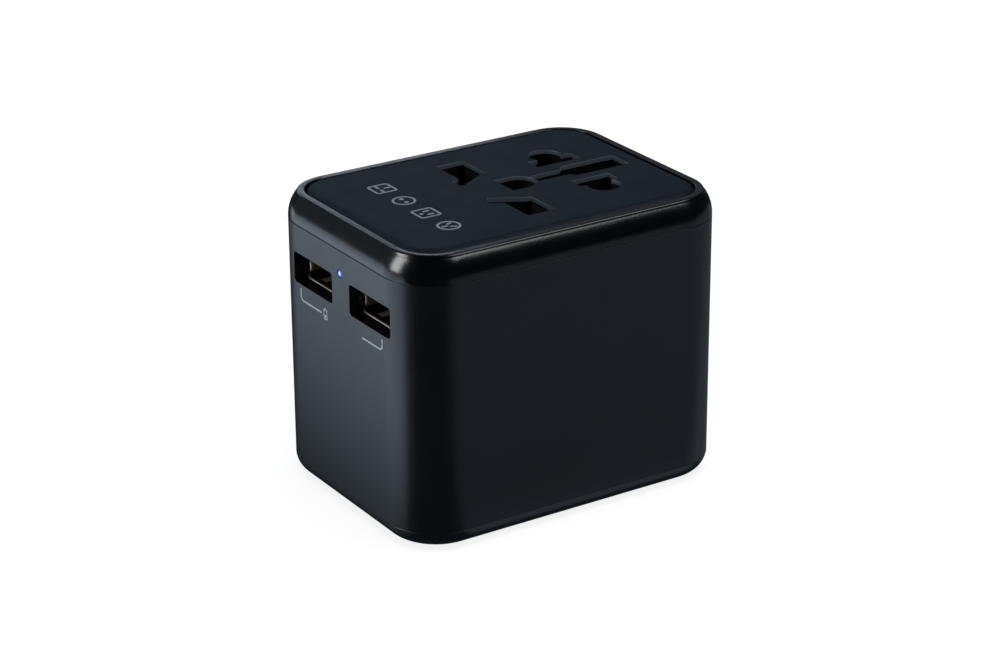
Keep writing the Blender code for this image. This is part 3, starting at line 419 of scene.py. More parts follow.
def grown(outline, distance):
    """The outline moved outwards by distance, with mitred corners."""
    count = len(outline)
    area = sum(
        outline[i][0] * outline[(i + 1) % count][1] - outline[(i + 1) % count][0] * outline[i][1]
        for i in range(count)
    )
    side = 1 if area > 0 else -1
    moved = []
    for i in range(count):
        here = Vector(outline[i])
        before = (here - Vector(outline[i - 1])).normalized()
        after = (Vector(outline[(i + 1) % count]) - here).normalized()
        out_before = Vector((before.y, -before.x)) * side
        out_after = Vector((after.y, -after.x)) * side
        way = out_before + out_after
        way = way / max(way.length_squared / 2, LEAST_MITRE)
        moved.append(tuple(here + way * distance))
    return moved


def punch(name, outline, face, depth, place, edge=EDGE):
    """A cutter that sinks an outline into a face and rounds the rim that it leaves."""
    levels = [(0, face - depth)]
    if edge:
        levels.append((0, face - edge))
        for turn in quarter_turn(EDGE_STEPS)[1:]:
            levels.append((edge * (1 - math.cos(turn)), face - edge + edge * math.sin(turn)))
    levels.append((edge, face + MM))
    rings = [[place(u, v, w) for u, v in grown(outline, out)] for out, w in levels]
    return lofted(name, rings)


def bake(piece):
    """Keeps what the modifiers make as a plain mesh."""
    bpy.context.view_layer.update()
    graph = bpy.context.evaluated_depsgraph_get()
    mesh = bpy.data.meshes.new_from_object(piece.evaluated_get(graph))
    piece.modifiers.clear()
    piece.data = mesh


def carve(piece, cutters, operation="DIFFERENCE"):
    """Cuts the cutters out of a piece, or joins them to it."""
    for cutter in cutters:
        change = piece.modifiers.new(cutter.name, "BOOLEAN")
        change.operation = operation
        change.solver = "EXACT"
        change.object = cutter
    bake(piece)
    for cutter in cutters:
        bpy.data.objects.remove(cutter)


def crisp(piece, angle):
    piece.data.shade_smooth()
    piece.data.set_sharp_from_angle(angle=math.radians(angle))
    even = piece.modifiers.new("even_normals", "WEIGHTED_NORMAL")
    even.keep_sharp = True
    even.weight = 100


def settle(piece, body, slot, *nodes, angle=32):
    """The closing calls on a piece: its edges and body, and the nodes it stands for. Its finish
    (slot) is not used.
    """
    if angle:
        crisp(piece, angle)
    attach(piece, body)
    if nodes:
        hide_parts(*nodes)


def turned(name, profile, origin, along, material=None, steps=32):
    """A turned body: (radius, distance along the axis) pairs, from one end to the other."""
    spin = Vector(along).to_track_quat("Z", "Y").to_matrix().to_4x4()
    matrix = Matrix.Translation(origin) @ spin
    bm = bmesh.new()
    levels = []
    for radius, height in profile:
        if radius == 0:
            levels.append([bm.verts.new(matrix @ Vector((0, 0, height)))])
            continue
        angles = [2 * math.pi * i / steps for i in range(steps)]
        levels.append([
            bm.verts.new(matrix @ Vector((radius * math.cos(a), radius * math.sin(a), height)))
            for a in angles
        ])
    for lower, upper in zip(levels, levels[1:]):
        for i in range(steps):
            j = (i + 1) % steps
            corners = [lower[i % len(lower)], lower[j % len(lower)], upper[j % len(upper)],
                       upper[i % len(upper)]]
            corners = list(dict.fromkeys(corners))
            if len(corners) > 2:
                bm.faces.new(corners)
    return from_bmesh(name, bm, material)


def moulded(name, colour, roughness, grain=0.16 * MM, depth=0.004 * MM, specular=0.5):
    """Moulded plastic: spark-eroded grain, faint flow mottle, and handling haze in the gloss."""
    finish = Finish(name)
    cloud = finish.noise(14 * MM, 4)
    fine = finish.noise(grain, 2)
    dark, light = (tuple(c * share for c in colour) for share in (1 - MOTTLE, 1 + MOTTLE))
    shade = finish.blend(cloud, dark, light)
    haze = finish.noise(5 * MM, 5)
    return finish.surface(
        Base_Color=shade,
        Roughness=(haze - 0.5) * 0.12 + (fine - 0.5) * 0.1 + roughness,
        Specular_IOR_Level=specular,
        Normal=finish.bump(fine, depth),
    )


def rear(u, v, w):
    return (u, w, v)


def left(u, v, w):
    return (-w, u, v)


def shifted(outline, x, y):
    return [(x + u, y + v) for u, v in outline]


shell_plastic = moulded("shell_plastic", (0.0015, 0.0032, 0.005), 0.34)
bends = [
    (SEAM_EDGE * (1 - math.sin(turn)), SEAM_EDGE * (1 - math.cos(turn)))
    for turn in quarter_turn(EDGE_STEPS)
]
wall = [(small, SLEEVE_BOTTOM + large) for small, large in bends]
wall += [(large, SLEEVE_TOP - small) for small, large in bends]
wall += [(WALL, SLEEVE_TOP), (WALL, SLEEVE_BOTTOM)]
sleeve_rings = [ring(inset, z) for inset, z in wall]
sleeve = lofted("housing_sleeve", sleeve_rings, shell_plastic, closed=True)
track = block("track", TRACK_X, (TRACK_BACK, WIDTH / 2 - WALL / 2), TRACK_Z, bevel=0.4 * MM)
posts = [track]
for number, (x, y) in enumerate(SCREWS, 1):
    profile = [(0, BOSS_BOTTOM), (BOSS_RADIUS, BOSS_BOTTOM), (BOSS_RADIUS, BOSS_TOP), (0, BOSS_TOP)]
    posts.append(turned(f"boss_{number}", profile, (x, y, 0), UP))
    rib_x = sorted((x, math.copysign(LENGTH / 2 - WALL / 2, x)))
    posts.append(block(f"rib_{number}", rib_x, around(y, RIB_HALF), (RIB_BOTTOM, BOSS_TOP)))
carve(sleeve, posts, "UNION")
openings = []
for number, (x, y) in enumerate(SCREWS, 1):
    profile = [(0, 0), (BORE_RADIUS, 0), (BORE_RADIUS, BORE_TOP), (0, BORE_TOP)]
    openings.append(turned(f"boss_bore_{number}", profile, (x, y, 0), UP, steps=16))
for tag, (x, travel) in PLUGS.items():
    low = CARRIER_LOW + KNOB_Z[0] - GAP
    high = CARRIER_LOW + travel + KNOB_Z[1] + GAP
    channel = shifted(rounded(CHANNEL_HALF, (high - low) / 2, 1.2 * MM, 10), x, (high + low) / 2)
    depth = WIDTH / 2 - CHANNEL_FLOOR
    openings.append(punch(f"channel_{tag}", channel, WIDTH / 2, depth, rear))
    low = CARRIER_LOW + 2.2 * MM
    high = CARRIER_LOW + travel + BUTTON_Z[1] + GAP
    slot = shifted(rounded(SLOT_HALF, (high - low) / 2, 0.5 * MM, 6), x, (high + low) / 2)
    openings.append(punch(f"slot_{tag}", slot, WIDTH / 2, SLOT_DEPTH, rear, 0))
for number, y in enumerate(PORT_YS, 1):
    window = shifted(rounded(*WINDOW_HALF, 0.6 * MM, 8), y, PORT_Z)
    openings.append(punch(f"window_{number}", window, LENGTH / 2, WINDOW_DEPTH, left, 0.12 * MM))
lens_hole = shifted(rounded(LED_HOLE_RADIUS, LED_HOLE_RADIUS, LED_HOLE_RADIUS, 8), LED_Y, LED_Z)
openings.append(punch("lens_hole", lens_hole, LENGTH / 2, WINDOW_DEPTH, left, 0.08 * MM))
carve(sleeve, openings)
settle(sleeve, "shell", "satin_shell", "main_housing")

# Bottom cover: a moulded tray that closes the housing. Its rim curves into the foot, a spigot
# inside it locates the sleeve, and its floor has a clearance hole for every pin.
FOOT_RADIUS = 3.8 * MM
COVER_TOP = 3.4 * MM
COVER_FLOOR = 2.4 * MM
SPIGOT_TOP = 5.4 * MM
SPIGOT_INSET = 2.3 * MM
POCKET_INSET = 3.5 * MM
FOOT_STEPS = 14
HEAD_RADIUS = 2.3 * MM
HEAD_SEAT = 1.8 * MM
PIN_HOLE_DEPTH = 6 * MM
PIN_HALF_PITCH = {"us": 6.35 * MM, "uk": 11.1 * MM, "eu": 9.5 * MM}
EARTH_X = PLUGS["uk"][0] + 22.2 * MM


def below(u, v, w):
    return (u, -v, -w)


foot = []
for turn in quarter_turn(FOOT_STEPS):
    z = FOOT_RADIUS * (1 - math.cos(turn))
    if z < COVER_TOP - EDGE:
        foot.append((FOOT_RADIUS * (1 - math.sin(turn)), z))
foot += [(0.01 * MM, COVER_TOP - SEAM_EDGE), (SEAM_EDGE, COVER_TOP)]
foot += [(SPIGOT_INSET, COVER_TOP), (SPIGOT_INSET, SPIGOT_TOP), (POCKET_INSET, SPIGOT_TOP)]
foot += [(POCKET_INSET, COVER_FLOOR)]
cover = lofted("foot_cover", [ring(inset, z) for inset, z in foot], shell_plastic)
pin_holes = []
for side in (-1, 1):
    for tag, half_x, half_y, radius, steps in (
        ("eu", 2.4, 2.4, 2.4, 10), ("uk", 2.4, 3.575, 0.3, 4), ("us", 3.8, 3.8, 3.8, 12),
    ):
        outline = rounded(half_x * MM, half_y * MM, radius * MM, steps)
        pin_holes.append(shifted(outline, PLUGS[tag][0], side * PIN_HALF_PITCH[tag]))
pin_holes.append(shifted(rounded(4.4 * MM, 2.4 * MM, 0.3 * MM, 4), EARTH_X, 0))
cuts = [
    punch(f"pin_hole_{number}", outline, 0, PIN_HOLE_DEPTH, below, 0.25 * MM)
    for number, outline in enumerate(pin_holes)
]
for number, (x, y) in enumerate(SCREWS, 1):
    profile = [(0, -MM), (HEAD_RADIUS, -MM), (HEAD_RADIUS, HEAD_SEAT), (BORE_RADIUS, HEAD_SEAT),
               (BORE_RADIUS, 7 * MM), (0, 7 * MM)]
    cuts.append(turned(f"counterbore_{number}", profile, (x, y, 0), UP, steps=40))
carve(cover, cuts)
settle(cover, "shell", "satin_shell", "bottom_cover")

# Cap: a glossier moulding that snaps into the top of the sleeve. Its shoulder leans in to a narrow
# flat rim, and a ledge inside it carries the socket panel.
CAP_BOTTOM = 49.55 * MM
CAP_LIP = 49.52 * MM
RIM_TOP = 54.2 * MM
SHOULDER_RADIUS = 6.8 * MM
SHOULDER_STEPS = 22
RIM_INNER_INSET = 3.15 * MM
RIM_INNER_RADIUS = 6.5 * MM
LEDGE_INSET = 4.8 * MM
LEDGE_TOP = 51.9 * MM
LEDGE_BOTTOM = 50.4 * MM
SKIRT_BOTTOM = 46.5 * MM
RIM_EDGE = 0.3 * MM


def shoulder_inset(z):
    return SHOULDER_RADIUS - math.sqrt(SHOULDER_RADIUS ** 2 - (z - CAP_BOTTOM) ** 2)


cap_rings = [ring(0.05 * MM, CAP_LIP), ring(0.01 * MM, CAP_LIP + 0.06 * MM)]
shoulder_end = RIM_TOP - RIM_EDGE
for step in range(1, SHOULDER_STEPS + 1):
    z = CAP_BOTTOM + (shoulder_end - CAP_BOTTOM) * step / SHOULDER_STEPS
    cap_rings.append(ring(shoulder_inset(z), z))
rim_start = shoulder_inset(shoulder_end)
for share, lift in ((0.14, 0.42), (0.4, 0.75), (0.75, 0.94), (1.25, 1.0)):
    cap_rings.append(ring(rim_start + share * RIM_EDGE, shoulder_end + lift * RIM_EDGE))
for turn in quarter_turn(EDGE_STEPS):
    inset = RIM_INNER_INSET - EDGE * (1 - math.sin(turn))
    cap_rings.append(ring(inset, RIM_TOP - EDGE * (1 - math.cos(turn)),
                          RIM_INNER_RADIUS + RIM_INNER_INSET - inset))
cap_rings.append(ring(RIM_INNER_INSET, LEDGE_TOP, RIM_INNER_RADIUS))
cap_rings += [ring(LEDGE_INSET, LEDGE_TOP), ring(LEDGE_INSET, LEDGE_BOTTOM)]
cap_rings += [ring(POCKET_INSET, LEDGE_BOTTOM), ring(POCKET_INSET, SKIRT_BOTTOM)]
cap_rings += [ring(SPIGOT_INSET, SKIRT_BOTTOM), ring(SPIGOT_INSET, CAP_LIP)]
cap_plastic = moulded(
    "cap_plastic", (0.0006, 0.0012, 0.002), 0.2, grain=0.3 * MM, depth=0.012 * MM
)
cap = lofted("shoulder_cap", cap_rings, cap_plastic, closed=True)
settle(cap, "shell", "gloss_cap", "top_cap", angle=40)

# Socket panel: a matt, finely grained plate with rolled edges. Each hole group serves one family
# of plugs, and the skin over the insulator block is under a millimetre thick.
PANEL_BOTTOM = 52.2 * MM
PANEL_TOP = 54.5 * MM
PANEL_INSET = 3.45 * MM
PANEL_EDGE_RADIUS = 1.3 * MM
PANEL_EDGE_STEPS = 12
PANEL_SKIN = 0.8 * MM
BLOCK_X = (-8.5 * MM, 28.0 * MM)
BLOCK_HALF_Y = 17.0 * MM
HOLE_EDGE = 0.1 * MM
HOLE_DEPTH = 4 * MM
HOLES_HALF = (27.5 * MM, 17 * MM)
UK_X = -1.15 * MM
ROUND_STEPS = 28


def above(u, v, w):
    return (u, v, w)


socket_outlines = []
for side, (us_low, us_high) in ((1, (11.2, 20.4)), (-1, (11.9, 19.9))):
    uk_slot = shifted(rounded(2.775 * MM, 3.85 * MM, 0.15 * MM, 3), UK_X, side * 11.25 * MM)
    slant = math.radians(30)
    along = Vector((math.cos(slant), side * math.sin(slant)))
    sideways = Vector((-along.y, along.x))
    centre = Vector((-2.7, side * 6.86))
    corners = oblong((-1, 1), (-1, 1))
    slanted = in_mm([centre + a * 3.625 * along + b * 1.3 * sideways for a, b in corners])
    straight = shifted(
        rounded((us_high - us_low) / 2 * MM, 1.575 * MM, 0.15 * MM, 3),
        (us_high + us_low) / 2 * MM, side * 6.375 * MM,
    )
    round_hole = shifted(rounded(3.02 * MM, 3.02 * MM, 3.02 * MM, 14), 15.87 * MM, side * 9.5 * MM)
    socket_outlines += [uk_slot, slanted, straight, round_hole]
half_round = [(0.8, 3.15), (0.8, -3.15)]
for step in range(ROUND_STEPS + 1):
    turn = math.pi * step / ROUND_STEPS - math.pi / 2
    half_round.append((4.0 + 3.15 * math.cos(turn), 3.15 * math.sin(turn)))
socket_outlines.append(in_mm(half_round))
earth_half = [(7.45, 1.45), (13.7, 1.45), (14.9, 2.65), (26.0, 2.65)]
socket_outlines.append(in_mm(earth_half + [(x, -y) for x, y in reversed(earth_half)]))


def panel_ring(inset, z):
    return ring(PANEL_INSET + inset, z, RIM_INNER_RADIUS - GAP - inset)


panel_rings = [panel_ring(0.1 * MM, PANEL_BOTTOM), panel_ring(0, PANEL_BOTTOM + 0.1 * MM)]
for turn in quarter_turn(PANEL_EDGE_STEPS):
    drop = PANEL_EDGE_RADIUS * (1 - math.sin(turn))
    panel_rings.append(panel_ring(PANEL_EDGE_RADIUS * (1 - math.cos(turn)), PANEL_TOP - drop))
panel_plastic = moulded(
    "panel_plastic", (0.0150, 0.0255, 0.0400), 0.52, grain=0.3 * MM, depth=0.014 * MM, specular=0.1
)
panel = lofted("world_socket_panel", panel_rings, panel_plastic)
pocket = block("pocket", (BLOCK_X[0] - GAP, BLOCK_X[1] + GAP), around(0, BLOCK_HALF_Y + GAP),
               (PANEL_BOTTOM - MM, PANEL_TOP - PANEL_SKIN), bevel=3 * MM, axis=2, segments=8)
carve(panel, [pocket] + [
    punch(f"socket_hole_{number}", outline, PANEL_TOP, HOLE_DEPTH, above, HOLE_EDGE)
    for number, outline in enumerate(socket_outlines)
])
# Painted light: the hole walls are the panel's own dark plastic, painted far lighter so that they
# read as lit.
lit_wall_plastic = moulded("hole_wall_painted_light", (0.30, 0.36, 0.42), 0.45)
panel.data.materials.append(lit_wall_plastic)
for face in panel.data.polygons:
    inside = abs(face.center.x) < HOLES_HALF[0] and abs(face.center.y) < HOLES_HALF[1]
    if inside and abs(face.normal.z) < 0.8:
        face.material_index = 1
settle(panel, "shell", "matte_panel", "socket_panel")

# Printed marks: blue-white pad print, thinner than a hair. Four plain socket symbols stand in a row
# on the panel, and a bracket with a small battery symbol joins the two ports.
INK = 0.03 * MM
LINE = 0.42 * MM
SYMBOL_HALF = 2.15 * MM
SYMBOL_X = -18.05 * MM
SYMBOL_YS = (10.4 * MM, 3.0 * MM, -4.4 * MM, -11.8 * MM)


def printed(name, outlines, place, face, material):
    """Flat shapes of ink. An outline with a second one inside it is a frame between the two."""
    lower, upper = face - INK / 3, face + INK
    bm = bmesh.new()
    for outer, inner in outlines:
        for w in (lower, upper):
            first = [bm.verts.new(place(u, v, w)) for u, v in outer]
            if inner is None:
                bm.faces.new(first)
                continue
            second = [bm.verts.new(place(u, v, w)) for u, v in inner]
            for i in range(len(first)):
                j = (i + 1) % len(first)
                bm.faces.new((first[i], first[j], second[j], second[i]))
        for outline in filter(None, (outer, inner)):
            for here, there in zip(outline, outline[1:] + outline[:1]):
                corners = ((here, lower), (there, lower), (there, upper), (here, upper))
                bm.faces.new([bm.verts.new(place(*point, w)) for point, w in corners])
    return from_bmesh(name, bm, material)


def bar(x, y, half_x, half_y, turn=0.0):
    """A turned bar, in millimetres."""
    cosine, sine = math.cos(turn), math.sin(turn)
    corners = oblong((-half_x, half_x), (-half_y, half_y))
    return in_mm((x + a * cosine - b * sine, y + a * sine + b * cosine) for a, b in corners)


def dot(x, y, radius):
    return shifted(rounded(radius * MM, radius * MM, radius * MM, 6), x * MM, y * MM)


def speckled(name, size, detail, first, second, swing, roughness, depth):
    """One noise sets the colour, the roughness and the relief."""
    finish = Finish(name)
    return finish.patterned(finish.noise(size, detail), first, second, swing, roughness, depth)


ink = speckled(
    "print_ink", 0.5 * MM, 3, (0.40, 0.50, 0.60), (0.52, 0.62, 0.72), 0.2, 0.35, 0.002 * MM
)
thin, long = 0.26, 0.62
prongs = (
    [bar(0.95, 0, long, thin), bar(-0.55, 0.95, thin, long), bar(-0.55, -0.95, thin, long)],
    [dot(0, 0.85, 0.42), dot(0, -0.85, 0.42)],
    [bar(0.45, 0.8, long, thin), bar(0.45, -0.8, long, thin), dot(-0.95, 0, 0.36)],
    [bar(0.5, 0.8, long, thin, 0.5), bar(0.5, -0.8, long, thin, -0.5), bar(-0.85, 0, long, thin)],
)
symbols = []
for number, (y, shapes) in enumerate(zip(SYMBOL_YS, prongs)):
    corner = (0.7 * MM, SYMBOL_HALF)[number % 2]
    frame_out = rounded(SYMBOL_HALF, SYMBOL_HALF, corner, 12)
    inside = SYMBOL_HALF - LINE
    frame_in = rounded(inside, inside, corner - LINE, 12)
    symbols.append((shifted(frame_out, SYMBOL_X, y), shifted(frame_in, SYMBOL_X, y)))
    symbols += [(shifted(shape, SYMBOL_X, y), None) for shape in shapes]
marks = printed("socket_symbols", symbols, above, PANEL_TOP, ink)
settle(marks, "shell", "matte_panel", angle=None)
BRACKET_LINE = 0.17 * MM
BATTERY_Y, BATTERY_Z = 5.0, 35.75


def ribbon(points, half):
    """A line of even width along the points."""
    outer, inner = [], []
    for i, point in enumerate(points):
        here = Vector(point)
        before = Vector(points[max(i - 1, 0)])
        after = Vector(points[min(i + 1, len(points) - 1)])
        way = (after - before).normalized()
        side = Vector((-way.y, way.x)) * half
        outer.append(tuple(here + side))
        inner.append(tuple(here - side))
    return outer, inner


def bracket_arm(start_y, end_y, top_z, low_z, radius):
    """Down from beside a port, round a corner, and in towards the middle."""
    towards = math.copysign(1, end_y - start_y)
    points = [(start_y, top_z), (start_y, low_z + radius)]
    for turn in quarter_turn(8)[1:]:
        points.append((
            start_y + towards * radius * (1 - math.cos(turn)), low_z + radius * (1 - math.sin(turn))
        ))
    return points + [(end_y, low_z)]


port_marks = []
for start_y, end_y, low_z in ((13.6, 6.4, 35.7), (-14.4, -7.7, 35.8)):
    arm = bracket_arm(start_y * MM, end_y * MM, 37.9 * MM, low_z * MM, 0.9 * MM)
    outer, inner = ribbon(arm, BRACKET_LINE)
    port_marks.append((outer + inner[::-1], None))
battery = shifted(rounded(0.62 * MM, 0.95 * MM, 0.2 * MM, 4), BATTERY_Y * MM, BATTERY_Z * MM)
hollow = shifted(rounded(0.4 * MM, 0.73 * MM, 0.08 * MM, 4), BATTERY_Y * MM, BATTERY_Z * MM)
port_marks.append((battery, hollow))
port_marks.append((bar(BATTERY_Y, 36.8, 0.3, 0.14), None))
port_marks.append((bar(BATTERY_Y, 35.45, 0.24, 0.3), None))
bracket = printed("port_bracket", port_marks, left, LENGTH / 2, ink)
settle(bracket, "shell", "satin_shell", angle=None)

# Socket insulators: two dark blocks under the panel. The guide carries the holes on down, and the
# tray below it holds the contacts.
block_plastic = moulded("block_plastic", (0.002, 0.002, 0.0022), 0.6, specular=0.2)


def plain(material, *names):
    """Gives a finish to CAD nodes that are shown as they are."""
    for name in names:
        mesh = cad[name].data
        mesh.materials.clear()
        mesh.materials.append(material)


plain(block_plastic, "socket_guide", "contact_tray")

# Contacts, busbars and fuse clips: stamped from sheet metal, so the roll marks run one way. Brass
# carries the current, nickel plate grips the fuse, and bright steel makes the button springs.


def rolled(name, colour, roughness, stretch, dull):
    finish = Finish(name)
    lines = finish.noise(0.9 * MM, 4, stretch)
    stain = finish.noise(4 * MM, 4)
    return finish.surface(
        Base_Color=finish.blend(stain, dull, colour),
        Metallic=1.0,
        Roughness=(lines - 0.5) * 0.22 + stain * 0.08 + roughness,
        Normal=finish.bump(lines, 0.004 * MM),
    )


brass = rolled("brass_sheet", (0.78, 0.55, 0.24), 0.24, (1, 1, 9), (0.58, 0.38, 0.15))
steel = rolled("bright_steel", (0.62, 0.62, 0.63), 0.26, (9, 1, 1), (0.5, 0.5, 0.52))
nickel = rolled("nickel_plate", (0.74, 0.72, 0.68), 0.17, (6, 6, 1), (0.64, 0.62, 0.57))
plain(brass, "live_contact", "neutral_contact", "live_busbar", "neutral_busbar",
      "us_wiper_live", "us_wiper_neutral")
plain(nickel, "fuse_clip_1", "fuse_clip_2")
plain(steel, "eu_button_spring", "uk_button_spring", "us_button_spring")

# Fuse: a white ceramic tube with a plated cap pressed on each end. The caps are thin cups, so their
# open edges stand on the tube as a fine step.
FUSE_X = -13.0 * MM
FUSE_Z = 42.5 * MM
FUSE_HALF = 10 * MM
ceramic = speckled(
    "fuse_ceramic", 0.4 * MM, 4, (0.80, 0.79, 0.74), (0.88, 0.87, 0.84), 0.2, 0.3, 0.006 * MM
)
tube = in_mm([(0, 0), (2.1, 0), (2.35, 0.25), (2.35, 16.7), (2.1, 17), (0, 17)])
fuse_tube = turned("fuse_tube", tube, (FUSE_X, -8.5 * MM, FUSE_Z), (0, 1, 0), ceramic)
settle(fuse_tube, "shell", "fuse_ceramic", "fuse")
cup = in_mm([(0, 0), (2.25, 0), (2.5, 0.25), (2.5, 5.2), (2.42, 5.6), (2.37, 5.6), (2.37, 1.2),
             (0, 1.2)])
for number, way in enumerate((1, -1), 1):
    origin = (FUSE_X, -way * FUSE_HALF, FUSE_Z)
    end_cap = turned(f"fuse_cap_{number}", cup, origin, (0, way, 0), nickel)
    settle(end_cap, "shell", "nickel_plate")

# Charger electronics: two green boards, a ferrite core with its taped winding, and two capacitors
# with a crimped groove and a scored vent.
board = Finish("solder_mask")
cells = board.node(
    "ShaderNodeTexBrick", {"offset": 0.37, "squash": 1.6},
    {"Vector": board.place, "Scale": 190.0, "Mortar Size": 0.05, "Color1": (0, 0, 0, 1),
     "Color2": (0.15, 0.15, 0.15, 1), "Mortar": (1, 1, 1, 1)},
)
tint = board.noise(3 * MM, 3)
mask = board.blend(tint, (0.005, 0.048, 0.018), (0.008, 0.076, 0.028))
board.surface(
    Base_Color=board.blend(cells, mask, (0.03, 0.16, 0.06)),
    Roughness=tint * 0.15 + 0.3,
    Normal=board.bump(cells, 0.03 * MM),
)
plain(board.material, "usb_board", "power_board")
ferrite = speckled(
    "ferrite", 0.25 * MM, 4, (0.012, 0.012, 0.013), (0.03, 0.03, 0.032), 0.3, 0.45, 0.02 * MM
)
plain(ferrite, "transformer_core")
tape = Finish("winding_tape")
wraps = tape.node(
    "ShaderNodeTexWave", {"bands_direction": "X"},
    {"Vector": tape.place, "Scale": 150.0, "Distortion": 1.5, "Detail": 2.0}, out="Fac",
)
tape.patterned(wraps, (0.50, 0.36, 0.04), (0.72, 0.54, 0.08), 0.2, 0.3, 0.05 * MM)
plain(tape.material, "transformer_winding")
film = speckled(
    "capacitor_film", 2 * MM, 3, (0.006, 0.010, 0.035), (0.012, 0.020, 0.060), 0.2, 0.22, 0.02 * MM
)
for name, node, radius, low, high in (
    ("input_can", "input_capacitor", 3.8, -15, -1),
    ("output_can", "output_capacitor", 3.2, 2, 13),
):
    length = high - low
    profile = in_mm([
        (0, 0), (radius - 0.5, 0), (radius - 0.1, 0.15), (radius, 0.5), (radius, 1.5),
        (radius - 0.45, 1.9), (radius - 0.45, 2.2), (radius, 2.6), (radius, length - 0.5),
        (radius - 0.4, length), (radius - 0.9, length), (radius - 1.0, length - 0.25),
        (0, length - 0.25),
    ])
    can = turned(name, profile, (-25 * MM, low * MM, 31.5 * MM), (0, 1, 0), film)
    settle(can, "shell", "capacitor_can", node)

# USB ports: each has a bent steel shell, with bronze fingers and a side spring that press on a
# connector, and a black tongue under the roof with four gilt contacts on its lower face.
SHELL_HALF = (6.65 * MM, 2.95 * MM)
SHEET = 0.35 * MM
SHELL_FRONT = -30.6 * MM
SHELL_BACK = -17.5 * MM
FINGER_Y = 3.1 * MM
FINGER_PATH = ((1.2, 0.0), (2.4, 0.05), (4.2, 0.42), (5.2, 0.72), (6.0, 0.5), (7.0, 0.25))
LEAF_PATH = ((0.3, 0.0), (0.36, 0.16), (0.5, 0.28), (1.4, 0.4), (3.5, 0.1))
CONTACT_YS = (-3.5, -1.0, 1.0, 3.5)
CONTACT_PATH = ((-28.6, 0.02), (-28.2, 0.12), (-26.0, 0.22), (-23.0, 0.12), (-19.6, 0.08))
tongue_plastic = moulded("tongue_plastic", (0.004, 0.004, 0.0045), 0.5)
spring_bronze = rolled("spring_bronze", (0.9, 0.74, 0.55), 0.34, (1, 8, 8), (0.7, 0.5, 0.32))
gilt = rolled("gilt_contact", (0.95, 0.66, 0.25), 0.2, (1, 8, 8), (0.8, 0.5, 0.18))
# Port steel with painted shade: the base colour turns dark more than 0.5 mm in from the front and
# above the bottom lip. This stands in for the shade inside the port and on the upper front edges,
# and only the bottom front lip keeps the bright steel colour.
steel_with_painted_shade = Finish("port_metal_painted_shade")
across, upward = (
    steel_with_painted_shade.node("ShaderNodeSeparateXYZ", None, {0: steel_with_painted_shade.place}, out=axis)
    for axis in "XZ"
)
shade_deeper_in, shade_above_lip = (
    steel_with_painted_shade.node("ShaderNodeMapRange", None, {"Value": value, 1: low, 2: high})
    for value, low, high in (
        (across, SHELL_FRONT, SHELL_FRONT + 0.5 * MM),
        (upward, PORT_Z - 2.5 * MM, PORT_Z - 1.9 * MM),
    )
)
# Painted shade mask: 1 deep inside or above the lip, 0 on the bottom front lip. The dark tone that
# it blends to varies at random.
shade = steel_with_painted_shade.node("ShaderNodeMath", {"operation": "MAXIMUM"}, {0: shade_deeper_in, 1: shade_above_lip})
stain = steel_with_painted_shade.noise(1.2 * MM, 4)
painted_shade_tone = steel_with_painted_shade.blend(stain, (0.05, 0.042, 0.036), (0.09, 0.075, 0.06))
steel_with_painted_shade.surface(
    Base_Color=steel_with_painted_shade.blend(shade, (0.62, 0.58, 0.54), painted_shade_tone),
    Metallic=0.9, Roughness=stain * 0.2 + 0.28, Normal=steel_with_painted_shade.bump(stain, 0.01 * MM),
)
